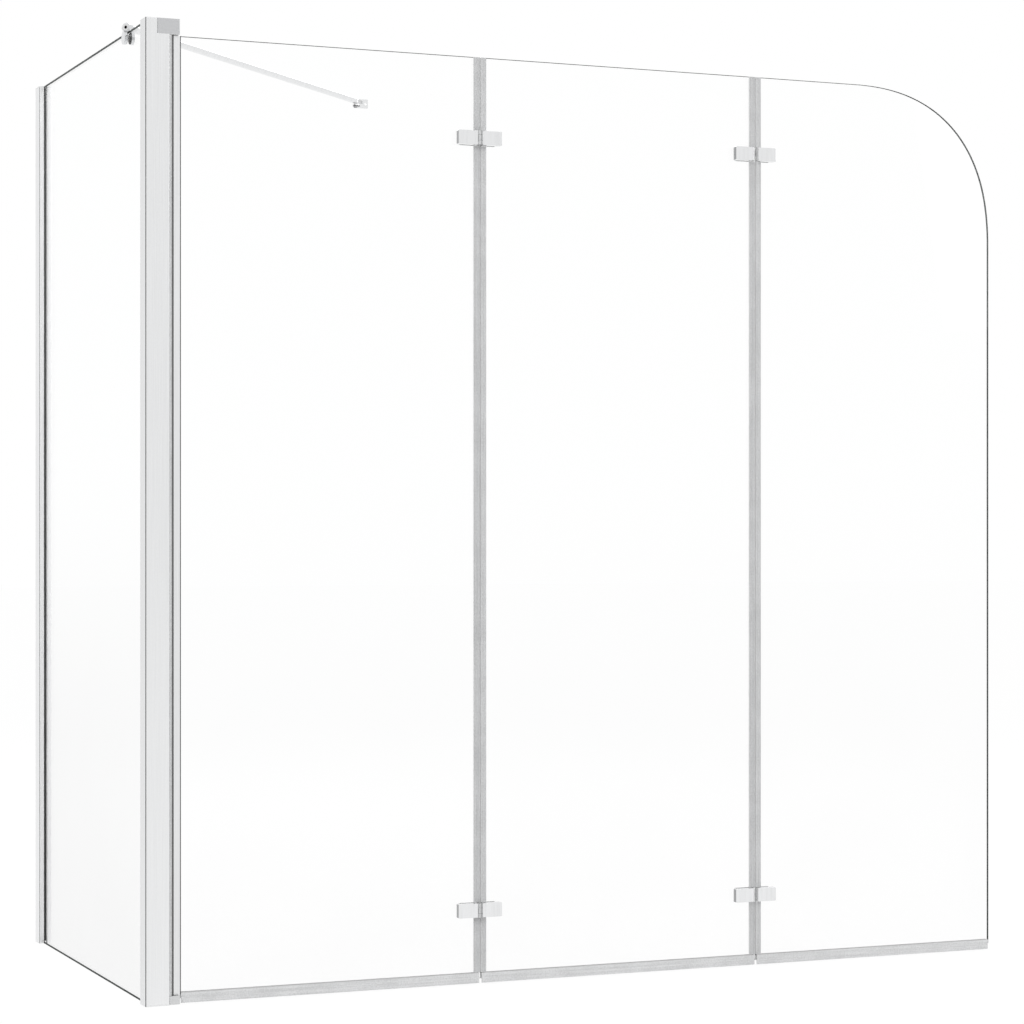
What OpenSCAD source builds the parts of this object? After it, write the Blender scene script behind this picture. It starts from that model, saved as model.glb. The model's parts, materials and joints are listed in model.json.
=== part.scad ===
// Corner shower screen for a bath: a fixed side pane between a wall profile and a corner post,
// and a main screen of three panes that swings on the post and folds on glass to glass hinges.
// The origin is the middle of the post's foot, +X runs along the main screen,
// +Y runs into the bath towards the wall, +Z is up. Sizes are in millimetres.

/* [Overall] */
// Height of the post and of the side pane
screen_h = 1400; // [1250:10:1600]
// Distance from the front face of the post to the wall
side_depth = 688; // [600:1:900]
// Thickness of every glass pane
glass_t = 5; // [4:0.5:6]
// Distance from the pivot line to the first folding line
first_pane_w = 467; // [400:1:560]
// Distance between the two folding lines
middle_pane_w = 460; // [420:1:560]
// Distance from the second folding line to the free edge
last_pane_w = 425; // [360:1:450]
// Half axis of the swept corner of the last pane
sweep_r = 252; // [150:1:320]
// Fullness of the swept corner, 2 is a circle
sweep_power = 2.43; // [2:0.01:3]

/* [Corner post] */
// Width of the post along the main screen
post_w = 35; // [32:0.5:45]
// Depth of the post along the side pane
post_d = 31; // [30:0.5:40]
// Wall of the post
post_wall = 1.8; // [1.5:0.1:2.2]
// Radius of the post's edges
post_edge_r = 1.2; // [0.6:0.1:1.6]
// Distance from the post's front face to the middle of the main panes
main_inset = 12; // [11.5:0.5:13]
// Distance from the post's outer side to the middle of the side pane
side_inset = 9.5; // [8.5:0.1:10.5]
// Depth of the glazing channel in the back of the post
channel_depth = 14; // [11:0.5:15]
// Thickness of the post's cap
post_cap_t = 2; // [1.5:0.1:3]
// Thickness of the post's foot
post_foot_t = 2; // [1.5:0.1:3]
// Depth of the plugs of the caps and of the foot
plug_depth = 8; // [5:0.5:14]

/* [Wall profile] */
// Width of the wall profile
wall_profile_w = 20; // [18:0.5:26]
// Depth of the wall profile
wall_profile_d = 29; // [27:0.5:36]
// Wall of the wall profile
wall_profile_wall = 1.8; // [1.4:0.1:2.2]
// Depth of the inner lips beside the glass
lip_depth = 7; // [5:0.5:9]
// How far the side pane goes into the wall profile
wall_bite = 14.5; // [10:0.5:14.5]
// Spacing of the wall screws
wall_screw_pitch = 600; // [450:10:620]
// Radius of the wall screw holes
wall_screw_r = 2.75; // [2:0.05:3.25]
// Number of wall screw holes
wall_screw_count = 3; // [2:1:3]

/* [Glazing] */
// Thickness of the rubber on each side of the side pane
glazing_t = 1.2; // [0.8:0.1:1.6]
// Thickness of the rubber in the pivot profile
pivot_glazing_t = 0.5; // [0.4:0.1:0.8]

/* [Pivot] */
// Distance from the post's inner side to the pivot line
pivot_gap = 8.5; // [8.2:0.1:10]
// Radius of the pivot profile's nose
nose_r = 5; // [4.8:0.1:5.2]
// Length of the pivot profile from the pivot line to its mouth
pivot_mouth = 8.5; // [7.5:0.1:8.5]
// Radius of the pivot pins
pivot_pin_r = 1.8; // [1.5:0.05:1.9]
// Outer radius of the pivot bushes
bush_r = 2.6; // [2.5:0.05:2.8]
// Length of the pivot bushes
bush_l = 12; // [8:0.5:20]
// Height of the top pivot bracket
top_bracket_h = 22; // [18:0.5:28]
// How far the top bracket is let into the post
top_bracket_seat = 18; // [14:0.5:18]
// Height of the bottom pivot bracket
bottom_bracket_h = 12; // [12:0.5:15]
// Gap between the bottom bracket and the bath's rim
bottom_bracket_lift = 1; // [0.5:0.1:2]
// How far the brackets reach past the pivot line
bracket_reach = 6.6; // [5:0.1:6.7]
// Gap between the brackets and the ends of the pivot profile
pivot_end_gap = 0.5; // [0.4:0.1:0.6]

/* [Hinges] */
// Width of the outer hinge leaves
leaf_w = 31; // [28:0.5:36]
// Height of the hinges
leaf_h = 21; // [20:0.5:30]
// Thickness of the outer hinge leaves
leaf_t = 8; // [7:0.5:8]
// Width of the inner hinge plates
plate_w = 25; // [24:0.5:28]
// Thickness of the inner hinge plates
plate_t = 4; // [3.6:0.1:4.5]
// Gap between the two leaves of a hinge
leaf_gap = 7.5; // [7.4:0.1:9]
// Corner radius of the leaves and plates
leaf_corner_r = 1.5; // [0.5:0.1:3]
// Thickness of the hinge gaskets
hinge_gasket_t = 0.5; // [0.4:0.1:0.6]
// Gap between a folded plate and the pin line
fold_gap = 1; // [0.9:0.05:1.2]
// Radius of the hinge knuckles
knuckle_r = 3.4; // [3:0.1:3.4]
// Height of the middle knuckle
middle_knuckle_h = 8; // [6:0.5:10]
// Radius of the hinge pins
hinge_pin_r = 1.6; // [1.2:0.05:1.8]
// Radius of the holes in the glass
glass_hole_r = 5; // [4:0.1:6]
// Height of the lower hinges above the bath's rim
lower_hinge_z = 110; // [80:1:200]
// Distance of the upper hinges from the top of the post
upper_hinge_drop = 143; // [100:1:200]

/* [Seals] */
// Distance from the bath's rim to the lower edge of the main panes
pane_lift = 10; // [9:0.5:11]
// Height of the bottom seals' lower edge
seal_lift = 1.2; // [0.8:0.1:2]
// Height of the bottom seals
bottom_seal_h = 15.3; // [14.5:0.1:17]
// Wall of the seals
seal_wall = 1.2; // [1:0.1:1.3]
// Distance from a folding line to the line where two edge seals meet
seal_line = 3; // [2.8:0.1:3.2]
// Gap between two edge seals
seal_gap = 0.6; // [0.5:0.1:0.9]
// Radius of the bead on an edge seal
seal_bead_r = 1.3; // [1.1:0.1:1.4]
// Width of the bead across the panes
seal_bead_w = 6.6; // [5:0.1:7]
// Grip of the edge seals that have a bead, on the outside
beaded_grip = 7.4; // [6:0.1:9]
// Grip of the same seals on the bath side
beaded_back_grip = 4.6; // [3:0.1:6]
// Grip of the plain edge seals
plain_grip = 7.7; // [6:0.1:9]
// Gap between two bottom seals
bottom_seal_gap = 4; // [3:0.5:5]
// Distance from the pivot line to the first bottom seal
bottom_seal_start = 10.2; // [10:0.1:14]
// How far the drip lip stands out on the bath side
drip_reach = 6; // [5:0.1:6.5]

/* [Stabiliser bar] */
// Distance from the post's front face to the middle of the glass clamp
clamp_inset = 133; // [60:1:250]
// Angle of the bar to the main screen
bar_angle = 45; // [40:1:55]
// Height of the bar's middle above the top of the side pane
bar_lift = 7; // [7:0.1:9]
// How much higher the wall end of the bar stands than its clamp end
bar_rise = 4; // [0:0.1:6]
// Radius of the bar
bar_r = 5; // [4.5:0.1:5.2]
// Wall of the bar
bar_wall = 1.6; // [1:0.1:1.8]
// How far the bar stands out past the middle of the side pane
bar_tail = 7; // [7:0.5:16]
// Width of the clamp across the glass
clamp_w = 15; // [14:0.5:18]
// Radius of the clamp's round jaws
clamp_r = 10; // [9.5:0.1:12]
// Depth of the jaws' middle below the top of the side pane
clamp_drop = 7.7; // [7:0.1:8.5]
// Outer radius of the clamp's collar round the bar
collar_r = 6.6; // [6.2:0.1:8]
// Length of the collar
collar_l = 12; // [11:0.5:14]
// Thickness of the clamp pads
pad_t = 0.8; // [0.5:0.1:1]
// Width of the wall flange
flange_w = 26; // [25:0.5:34]
// Height of the wall flange
flange_h = 15.5; // [14:0.5:24]
// How far the flange's middle lies below the end of the bar
flange_drop = 2.5; // [0:0.1:3]
// Thickness of the wall flange
flange_t = 3; // [2.5:0.1:4]
// Distance from the wall to the flange pin
flange_pin_stand = 11; // [10:0.5:14]
// Thickness of the flange's tongue
tongue_t = 5; // [4:0.1:5.4]
// Width of the flange's tongue
tongue_w = 9; // [8:0.1:9.4]
// Radius of the flange pin
flange_pin_r = 1.75; // [1.5:0.05:2]
// Radius of the flange's screw hole
flange_screw_r = 2.25; // [1.75:0.05:2.5]

/* [Screws] */
// Radius of the bracket screws
bracket_screw_r = 2; // [1.5:0.05:2]
// Length of the bracket screws
bracket_screw_l = 30; // [26:1:36]
// Radius of the hinge screws
hinge_screw_r = 2.5; // [2:0.05:2.6]
// Radius of the clamp's grub screws
grub_r = 2; // [1.5:0.05:2.2]

/* [Hidden] */
$fn = 64;

// Reach of a cutting shape past the faces it cuts
cut = 1;
// Gap of a piece that slides into another while it is put together
slip = 0.2;
// Radial clearance of a pin that turns
running = 0.05;

// Colours that several pieces share
aluminium = [0.84, 0.85, 0.86];
chrome = [0.80, 0.81, 0.83];
clear_glass = [0.80, 0.90, 0.88, 0.35];
seal_grey = [0.78, 0.79, 0.79];

// Planes and lines of the frame
front_y = -post_d / 2;
back_y = post_d / 2;
left_x = -post_w / 2;
right_x = post_w / 2;
wall_y = front_y + side_depth;
main_y = front_y + main_inset;
side_x = left_x + side_inset;
pivot_x = right_x + pivot_gap;
joint_x = [pivot_x + first_pane_w, pivot_x + first_pane_w + middle_pane_w];
free_x = joint_x[1] + last_pane_w;
bracket_z = screen_h - top_bracket_h;
bracket_end_x = pivot_x + bracket_reach;

// Post
mouth_w = glass_t + 2 * glazing_t;
channel_y = back_y - channel_depth;
channel_right_x = side_x + mouth_w / 2 + post_wall;
seat_x = right_x - top_bracket_seat;
notch_x = seat_x - slip;
port_wall = 1.5;
port_merge = 0.8;
port_r = bracket_screw_r + port_wall;
port_inset = post_wall + port_r - port_merge;
port_x = right_x - port_inset;
port_y = back_y - port_inset;
groove_w = 1;
groove_d = 0.8;
strip_root_w = 3;
strip_barb_w = 5;
strip_barb_t = 1.2;
strip_gap = 0.4;
strip_inset = 0.5;
strip_back = 4;
strip_lip_t = 0.7;
strip_lip_short = 1;
plug_end_x = channel_right_x - post_wall;

// Side pane and wall profile
profile_mouth_y = wall_y - wall_profile_d;
side_start_y = channel_y + slip;
side_end_y = profile_mouth_y + wall_bite;
profile_cap_t = 2;
profile_edge_r = 1;
profile_groove_w = 0.6;
lip_t = 1.5;
wall_screw_mid_z = screen_h / 2;

// Pivot
bush_wall = 1.3;
channel_floor = bush_r + bush_wall;
pane_start = channel_floor + pivot_glazing_t;
gasket_lip_w = 1.5;
gasket_lip_y = 4.4;
pivot_z = [bottom_bracket_lift + bottom_bracket_h + pivot_end_gap, bracket_z - pivot_end_gap];
bush_flange_w = 1.2;
bush_flange_r = bush_r + bush_flange_w;
bush_flange_play = 0.1;
bush_flange_t = pivot_end_gap - bush_flange_play;
pin_depth = [10, 14];
bottom_bracket_back = 6.5;
bottom_bracket_back_y = main_y + bottom_bracket_back;
bottom_screw_inset = 7;
bottom_screw_y = main_y - bottom_screw_inset;
bottom_screw_z = bottom_bracket_lift + bottom_bracket_h / 2;
bracket_head_trim = 0.2;
bracket_head_r = 2 * bracket_screw_r - bracket_head_trim;
bottom_screw_l = 20;

// Panes
bead_sink = 0.4;
bead_edge_r = 0.8;
edge_seal_hinge_gap = slip;
seal_core_y = glass_t / 2 - slip;
edge_seal_low = seal_lift + bottom_seal_h + seal_gap / 2;
pane_top_gap = 0.6;
pane_top = bracket_z - pane_top_gap;
pane_end_x = [for (x = joint_x) x + seal_line - seal_gap / 2 - bead_reach()];
pane_next_x = [for (x = joint_x) x + seal_line + seal_gap / 2 + seal_wall];
sweep_steps = 48;
corner_notch_gap = 1;
corner_notch_h = bottom_bracket_lift + bottom_bracket_h + corner_notch_gap - pane_lift;

// Hinges
hinge_z = [lower_hinge_z, screen_h - upper_hinge_drop];
hole_x = leaf_gap / 2 + leaf_w / 2;
outer_face = glass_t / 2 + hinge_gasket_t + leaf_t;
inner_face = glass_t / 2 + hinge_gasket_t + plate_t;
outer_pin_y = -(outer_face + fold_gap);
inner_pin_y = inner_face + fold_gap;
knuckle_gap = 0.3;
hinge_head_trim = 0.4;
hinge_head_r = 2 * hinge_screw_r - hinge_head_trim;
hinge_screw_cover = 2;
hinge_screw_end = outer_face - hinge_screw_cover;
sleeve_play = 0.1;
sleeve_r = glass_hole_r - sleeve_play;
thread_tip = 0.3;

// Sockets of the screws, as shares of the screw's radius and of the head's height
recess_share = 0.7;
recess_depth_share = 0.8;
grub_socket_share = 0.55;
grub_socket_l = 1.2;

// Bar
bar_z = screen_h + bar_lift;
clamp_y = front_y + clamp_inset;
flange_pin_y = wall_y - flange_pin_stand;
bar_run = (flange_pin_y - clamp_y) / sin(bar_angle);
bar_tilt = atan(bar_rise / bar_run);
flange_z = bar_z + bar_rise;
flange_edge_r = 1.5;
flange_x = side_x + (wall_y - clamp_y) / tan(bar_angle);
fork_r = bar_r;
fork_head_l = 14;
fork_spigot_l = 16;
fork_slot_t = tongue_t + 2 * slip;
fork_slot_gap = 1;
plug_l = 8;
plug_socket_r = 2.3;
pin_head_r = 6.2;
pin_head_t = 4;
clamp_z = screen_h - clamp_drop;
clamp_roof_gap = 0.3;
pad_margin = 0.8;
pad_r = clamp_r - pad_margin;
pad_top = clamp_drop - pad_margin;
boss_wall = 1.4;
boss_l = 2.2;
boss_end = collar_r + boss_l;
grub_head_gap = 0.4;
grub_tip_gap = 0.1;

// Distance from the edge of a pane to the tip of its beaded seal
function bead_reach() = seal_wall + 2 * seal_bead_r - bead_sink;

// A rectangle with round corners, centred
module round_rect(w, h, r) {
    square([w - 2 * r, h], center = true);
    square([w, h - 2 * r], center = true);
    for (x = [-1, 1], y = [-1, 1]) translate([x * (w / 2 - r), y * (h / 2 - r)]) circle(r);
}

// A rectangle given by its low and high corners
module span(x0, y0, x1, y1) {
    translate([x0, y0]) square([x1 - x0, y1 - y0]);
}

// A countersunk screw that points down, its head's face at the origin
module screw(r, head_r, l) {
    head_h = head_r - r;
    recess_r = r * recess_share;
    difference() {
        union() {
            rotate_extrude() polygon([[0, 0], [head_r, 0], [r, -head_h], [0, -head_h]]);
            translate([0, 0, -l]) cylinder(r = r, h = l - head_h / 2);
        }
        translate([0, 0, -head_h * recess_depth_share])
            cylinder(r = recess_r, h = head_h, $fn = 6);
    }
}

// The hole for such a screw, with a longer and wider shank where it only passes
module screw_hole(r, head_r, l) {
    head_h = head_r - r;
    rotate_extrude() polygon([[0, cut], [head_r + cut, cut], [r, -head_h], [0, -head_h]]);
    translate([0, 0, -l]) cylinder(r = r, h = l);
}

// Section of the post's glazing channel and chambers, seen from above
module post_chambers() {
    in_l = left_x + post_wall;
    in_r = right_x - post_wall;
    span(in_l, front_y + post_wall, in_r, channel_y - post_wall);
    span(channel_right_x, front_y + post_wall, in_r, back_y - post_wall);
}

// A rectangle with round corners, centred, with a shadow groove in its low corner
module grooved_rect(w, h, r, mouth) {
    mid = r * (1 - cos(45));
    difference() {
        round_rect(w, h, r);
        translate([mid - w / 2, mid - h / 2]) rotate(45)
            square([2 * groove_d, mouth], center = true);
    }
}

// Outline of the post from above
module post_outline() {
    grooved_rect(post_w, post_d, post_edge_r, groove_w);
}

module post_section() {
    difference() {
        post_outline();
        difference() {
            post_chambers();
            for (y = [-port_y, port_y]) translate([port_x, y]) circle(port_r);
        }
        for (y = [-port_y, port_y]) translate([port_x, y]) circle(bracket_screw_r);
        span(side_x - mouth_w / 2, channel_y, side_x + mouth_w / 2, back_y + cut);
        translate([right_x, main_y]) square([2 * post_wall + cut, strip_root_w], center = true);
    }
}

module corner_post() {
    color(aluminium) difference() {
        translate([0, 0, post_foot_t])
            linear_extrude(screen_h - post_cap_t - post_foot_t) post_section();
        translate([notch_x, front_y - cut, bracket_z])
            cube([post_w, post_d + 2 * cut, top_bracket_h]);
        translate([bracket_end_x, bottom_screw_y, bottom_screw_z]) rotate([0, 90, 0])
            screw_hole(bracket_screw_r, bracket_head_r, bottom_screw_l);
    }
}

// Plug that the cap and the foot share, in the front chamber beside the screw ports
module post_plug() {
    span(left_x + post_wall + slip, front_y + post_wall + slip,
         plug_end_x, channel_y - post_wall - slip);
}

module post_cap() {
    z = screen_h - post_cap_t;
    color(aluminium) {
        translate([0, 0, z]) linear_extrude(post_cap_t) intersection() {
            difference() {
                post_outline();
                span(side_x - glass_t / 2 - slip, channel_y,
                     side_x + glass_t / 2 + slip, back_y + cut);
            }
            span(left_x, front_y, notch_x, back_y);
        }
        translate([0, 0, z - plug_depth]) linear_extrude(plug_depth + cut / 2) post_plug();
    }
}

module post_foot() {
    color(aluminium) {
        linear_extrude(post_foot_t) difference() {
            post_outline();
            span(side_x - glass_t / 2 - slip, channel_y,
                 side_x + glass_t / 2 + slip, back_y + cut);
        }
        linear_extrude(post_foot_t + plug_depth) post_plug();
    }
}

// Rubber on both sides of the side pane, in the post's channel
module post_glazing_gasket() {
    l = screen_h - post_cap_t - post_foot_t;
    color([0.25, 0.25, 0.26]) translate([side_x, 0, post_foot_t]) linear_extrude(l)
        for (s = [-1, 1]) mirror([s < 0 ? 1 : 0, 0])
            span(glass_t / 2, channel_y + slip, mouth_w / 2, back_y - slip);
}

// Grey strip beside the post, with a thin lip in front of the pivot profile's nose
module post_seal_strip() {
    reach = pivot_gap - nose_r - strip_gap;
    lip_y = nose_r + strip_gap;
    color([0.70, 0.71, 0.72]) translate([right_x, main_y, pivot_z[0]])
        linear_extrude(pivot_z[1] - pivot_z[0]) {
            span(0, strip_inset - main_inset, reach, strip_back);
            span(reach / 2, -lip_y - strip_lip_t, pivot_gap - strip_lip_short, -lip_y);
            translate([-post_wall - strip_barb_t / 2, -strip_root_w / 2])
                square([post_wall + strip_barb_t, strip_root_w]);
            translate([-post_wall - strip_barb_t, -strip_barb_w / 2])
                square([strip_barb_t, strip_barb_w]);
        }
}

module top_pivot_bracket() {
    w = bracket_end_x - seat_x;
    color([0.60, 0.61, 0.63]) difference() {
        translate([seat_x + w / 2, 0, bracket_z])
            linear_extrude(top_bracket_h) round_rect(w, post_d, post_edge_r);
        for (y = [-port_y, port_y]) translate([port_x, y, screen_h])
            screw_hole(bracket_screw_r, bracket_head_r, top_bracket_h + cut);
        translate([pivot_x, main_y, bracket_z - cut])
            cylinder(r = pivot_pin_r, h = pin_depth[1] + cut);
    }
}

module bottom_pivot_bracket() {
    w = bracket_end_x - right_x;
    d = bottom_bracket_back_y - front_y;
    color([0.62, 0.63, 0.65]) difference() {
        translate([right_x + w / 2, front_y + d / 2, bottom_bracket_lift])
            linear_extrude(bottom_bracket_h) round_rect(w, d, post_edge_r);
        translate([bracket_end_x, bottom_screw_y, bottom_screw_z]) rotate([0, 90, 0])
            screw_hole(bracket_screw_r, bracket_head_r, w + cut);
        translate([pivot_x, main_y, pivot_z[0] - pivot_end_gap - pin_depth[0]])
            cylinder(r = pivot_pin_r, h = pin_depth[0] + cut);
    }
}

module bracket_screws() {
    color([0.75, 0.75, 0.76]) {
        for (y = [-port_y, port_y]) translate([port_x, y, screen_h])
            screw(bracket_screw_r, bracket_head_r, bracket_screw_l);
        translate([bracket_end_x, bottom_screw_y, bottom_screw_z]) rotate([0, 90, 0])
            screw(bracket_screw_r, bracket_head_r, bottom_screw_l);
    }
}

// Steel pins pressed into the two brackets, on which the pivot profile turns
module pivot_pins() {
    bottom_l = pin_depth[0] + pivot_end_gap + bush_l;
    top_l = pin_depth[1] + pivot_end_gap + bush_l;
    color([0.72, 0.72, 0.74]) {
        translate([pivot_x, main_y, pivot_z[0] - pivot_end_gap - pin_depth[0]])
            cylinder(r = pivot_pin_r, h = bottom_l);
        translate([pivot_x, main_y, pivot_z[1] - bush_l]) cylinder(r = pivot_pin_r, h = top_l);
    }
}

// Outline of the wall profile from above, its mouth towards the post
module wall_profile_outline() {
    translate([0, wall_profile_d / 2])
        grooved_rect(wall_profile_w, wall_profile_d, profile_edge_r, profile_groove_w);
}

module wall_profile_section() {
    half = wall_profile_w / 2;
    mouth = mouth_w / 2;
    difference() {
        wall_profile_outline();
        span(-half + wall_profile_wall, wall_profile_wall,
             half - wall_profile_wall, wall_profile_d - wall_profile_wall);
        span(-mouth, -cut, mouth, 2 * wall_profile_wall);
    }
    for (s = [-1, 1]) translate([s * (mouth + lip_t / 2), lip_depth / 2 + profile_edge_r / 2])
        square([lip_t, lip_depth - profile_edge_r], center = true);
}

module wall_profile() {
    half_run = (wall_screw_count - 1) / 2;
    color(aluminium) difference() {
        translate([side_x, profile_mouth_y]) linear_extrude(screen_h - profile_cap_t)
            wall_profile_section();
        for (i = [-half_run:half_run])
            translate([side_x, wall_y, wall_screw_mid_z + i * wall_screw_pitch])
                rotate([90, 0, 0])
                    cylinder(r = wall_screw_r, h = 4 * wall_profile_wall, center = true);
    }
}

module wall_profile_cap() {
    z = screen_h - profile_cap_t;
    in_w = wall_profile_w - 2 * (wall_profile_wall + slip);
    color(aluminium) translate([side_x, profile_mouth_y, 0]) {
        translate([0, 0, z]) linear_extrude(profile_cap_t) difference() {
            wall_profile_outline();
            span(-glass_t / 2 - slip, -cut, glass_t / 2 + slip, wall_bite + slip);
        }
        translate([-in_w / 2, wall_bite + 2 * slip, z - plug_depth])
            cube([in_w, wall_profile_d - wall_profile_wall - wall_bite - 3 * slip,
                  plug_depth + cut]);
    }
}

// Rubber on both sides of the side pane, between the lips of the wall profile
module wall_glazing_gasket() {
    color([0.12, 0.12, 0.13]) translate([side_x, profile_mouth_y])
        linear_extrude(screen_h - profile_cap_t) for (s = [-1, 1]) mirror([s < 0 ? 1 : 0, 0])
            span(glass_t / 2, slip, mouth_w / 2, lip_depth);
}

module side_glass() {
    color(clear_glass) translate([side_x - glass_t / 2, side_start_y, 0])
        cube([glass_t, side_end_y - side_start_y, screen_h]);
}

// Turns a shape drawn along +X so that it lies along the bar's line, from the clamp's middle
module on_bar() {
    translate([side_x, clamp_y, bar_z]) rotate([0, -bar_tilt, bar_angle]) children();
}

// A cylinder along +X that starts at x
module rod(x, r, l) {
    translate([x, 0, 0]) rotate([0, 90, 0]) cylinder(r = r, h = l);
}

module stabiliser_bar() {
    l = bar_run - fork_head_l + bar_tail;
    color([0.86, 0.87, 0.88]) on_bar() difference() {
        rod(-bar_tail, bar_r, l);
        rod(-bar_tail - cut, bar_r - bar_wall, l + 2 * cut);
    }
}

module bar_end_plug() {
    color([0.08, 0.08, 0.09]) on_bar() difference() {
        rod(-bar_tail, bar_r - bar_wall, plug_l);
        translate([-bar_tail - cut, 0, 0]) rotate([0, 90, 0])
            cylinder(r = plug_socket_r, h = cut + plug_l / 2, $fn = 6);
    }
}

// Fork in the wall end of the bar, which straddles the flange's tongue
module bar_fork() {
    slot_l = tongue_w / 2 + fork_slot_gap;
    color(chrome) on_bar() {
        difference() {
            union() {
                rod(bar_run - fork_head_l, fork_r, fork_head_l);
                intersection() {
                    rod(bar_run - cut, fork_r, fork_r + cut);
                    translate([bar_run, 0, -fork_r]) cylinder(r = fork_r, h = 2 * fork_r);
                }
            }
            translate([bar_run - slot_l, -2 * fork_r, -fork_slot_t / 2])
                cube([4 * fork_r, 4 * fork_r, fork_slot_t]);
            translate([bar_run, 0, -2 * fork_r]) cylinder(r = flange_pin_r, h = 4 * fork_r);
        }
        rod(bar_run - fork_head_l - fork_spigot_l, bar_r - bar_wall, fork_spigot_l + cut);
    }
}

// Pin through fork and tongue, with a flat head under the fork
module flange_pin() {
    color([0.30, 0.30, 0.31]) on_bar() translate([bar_run, 0, -fork_r]) {
        cylinder(r = flange_pin_r, h = 2 * fork_r);
        translate([0, 0, -pin_head_t]) cylinder(r = pin_head_r, h = pin_head_t);
    }
}

module wall_flange() {
    plate_z = flange_z - flange_drop;
    color(chrome) difference() {
        union() {
            translate([flange_x, wall_y, plate_z]) rotate([90, 0, 0])
                linear_extrude(flange_t) round_rect(flange_w, flange_h, flange_edge_r);
            intersection() {
                on_bar() union() {
                    translate([bar_run, 0, -tongue_t / 2])
                        cylinder(r = tongue_w / 2, h = tongue_t);
                    translate([bar_run, -tongue_w / 2, -tongue_t / 2])
                        cube([2 * flange_pin_stand, tongue_w, tongue_t]);
                }
                translate([flange_x - 2 * flange_w, wall_y - 4 * flange_w, flange_z - flange_h])
                    cube([4 * flange_w, 4 * flange_w, 2 * flange_h]);
            }
        }
        on_bar() translate([bar_run, 0, -tongue_t])
            cylinder(r = flange_pin_r + running, h = 2 * tongue_t);
        translate([flange_x + flange_w / 2 - 2 * flange_screw_r, wall_y, plate_z])
            rotate([90, 0, 0]) cylinder(r = flange_screw_r, h = 4 * flange_t, center = true);
    }
}

// Turns a shape drawn along +Z so that it points away from the bar, to the outside
module off_bar() {
    on_bar() rotate([-90, 0, 0]) children();
}

// Clamp with two round jaws on the glass, a neck above it and a collar round the bar
module glass_clamp() {
    slot_w = glass_t + 2 * pad_t;
    color(chrome) difference() {
        union() {
            translate([side_x, clamp_y, clamp_z]) {
                rod(-clamp_w / 2, clamp_r, clamp_w);
                cylinder(r = collar_l / 2, h = bar_z - clamp_z);
            }
            on_bar() rod(-collar_l / 2, collar_r, collar_l);
            off_bar() cylinder(r = grub_r + boss_wall, h = boss_end);
        }
        translate([side_x - slot_w / 2, clamp_y - clamp_r - cut, clamp_z - clamp_r - cut])
            cube([slot_w, 2 * (clamp_r + cut), clamp_r + cut + clamp_drop + clamp_roof_gap]);
        on_bar() rod(-collar_l, bar_r, 2 * collar_l);
        off_bar() cylinder(r = grub_r, h = boss_end + cut);
        translate([side_x, clamp_y, clamp_z]) rod(0, grub_r, clamp_w);
    }
}

// Round pads between the jaws and the pane, cut straight below the pane's top
module clamp_pads() {
    color([0.30, 0.30, 0.31]) translate([side_x, clamp_y, clamp_z])
        for (x = [-glass_t / 2 - pad_t, glass_t / 2]) intersection() {
            rod(x, pad_r, pad_t);
            translate([x - cut, -clamp_r, pad_top - 2 * clamp_r])
                cube([pad_t + 2 * cut, 2 * clamp_r, 2 * clamp_r]);
        }
}

// A headless screw along +X with a six sided socket in its outer end
module grub(x0, x1) {
    difference() {
        rod(x0, grub_r, x1 - x0);
        translate([x1 - grub_socket_l, 0, 0]) rotate([0, 90, 0])
            cylinder(r = grub_r * grub_socket_share, h = grub_socket_l + cut, $fn = 6);
    }
}

// One screw presses on the pad, the other on the bar
module clamp_grub_screws() {
    color([0.35, 0.35, 0.37]) {
        translate([side_x, clamp_y, clamp_z])
            grub(glass_t / 2 + pad_t, clamp_w / 2 - grub_head_gap);
        on_bar() rotate(90) grub(bar_r + grub_tip_gap, boss_end - grub_head_gap);
    }
}

module pivot_profile_section() {
    difference() {
        union() {
            circle(nose_r);
            span(0, -nose_r, pivot_mouth, nose_r);
        }
        circle(bush_r);
        span(channel_floor, -glass_t / 2 - pivot_glazing_t,
             pivot_mouth + cut, glass_t / 2 + pivot_glazing_t);
    }
}

module pivot_profile() {
    color(aluminium) translate([pivot_x, main_y, pivot_z[0]])
        linear_extrude(pivot_z[1] - pivot_z[0]) pivot_profile_section();
}

// Nylon bushes with a flange, one in each end of the pivot profile
module pivot_bush() {
    difference() {
        union() {
            cylinder(r = bush_r, h = bush_l);
            translate([0, 0, -bush_flange_t]) cylinder(r = bush_flange_r, h = bush_flange_t);
        }
        translate([0, 0, -cut]) cylinder(r = pivot_pin_r + running, h = bush_l + 2 * cut);
    }
}

module pivot_bushes() {
    color([0.93, 0.93, 0.90]) {
        translate([pivot_x, main_y, pivot_z[0]]) pivot_bush();
        translate([pivot_x, main_y, pivot_z[1]]) mirror([0, 0, 1]) pivot_bush();
    }
}

module pivot_gasket() {
    half = glass_t / 2 + pivot_glazing_t;
    end = pivot_mouth + gasket_lip_w;
    color([0.15, 0.15, 0.16]) translate([pivot_x, main_y, pivot_z[0]])
        linear_extrude(pane_top - pivot_z[0]) difference() {
            union() {
                span(channel_floor, -half, end, half);
                span(pivot_mouth, -gasket_lip_y, end, gasket_lip_y);
            }
            span(pane_start, -glass_t / 2, end + cut, glass_t / 2);
        }
}

// Holes for the hinges, at one folding line and on one side of it
module glass_holes(x, s) {
    for (z = hinge_z) translate([x + s * hole_x, main_y, z]) rotate([90, 0, 0])
        cylinder(r = glass_hole_r, h = 4 * glass_t, center = true);
}

module pane(x0, x1) {
    translate([x0, main_y - glass_t / 2, pane_lift]) cube([x1 - x0, glass_t, pane_top - pane_lift]);
}

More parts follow.
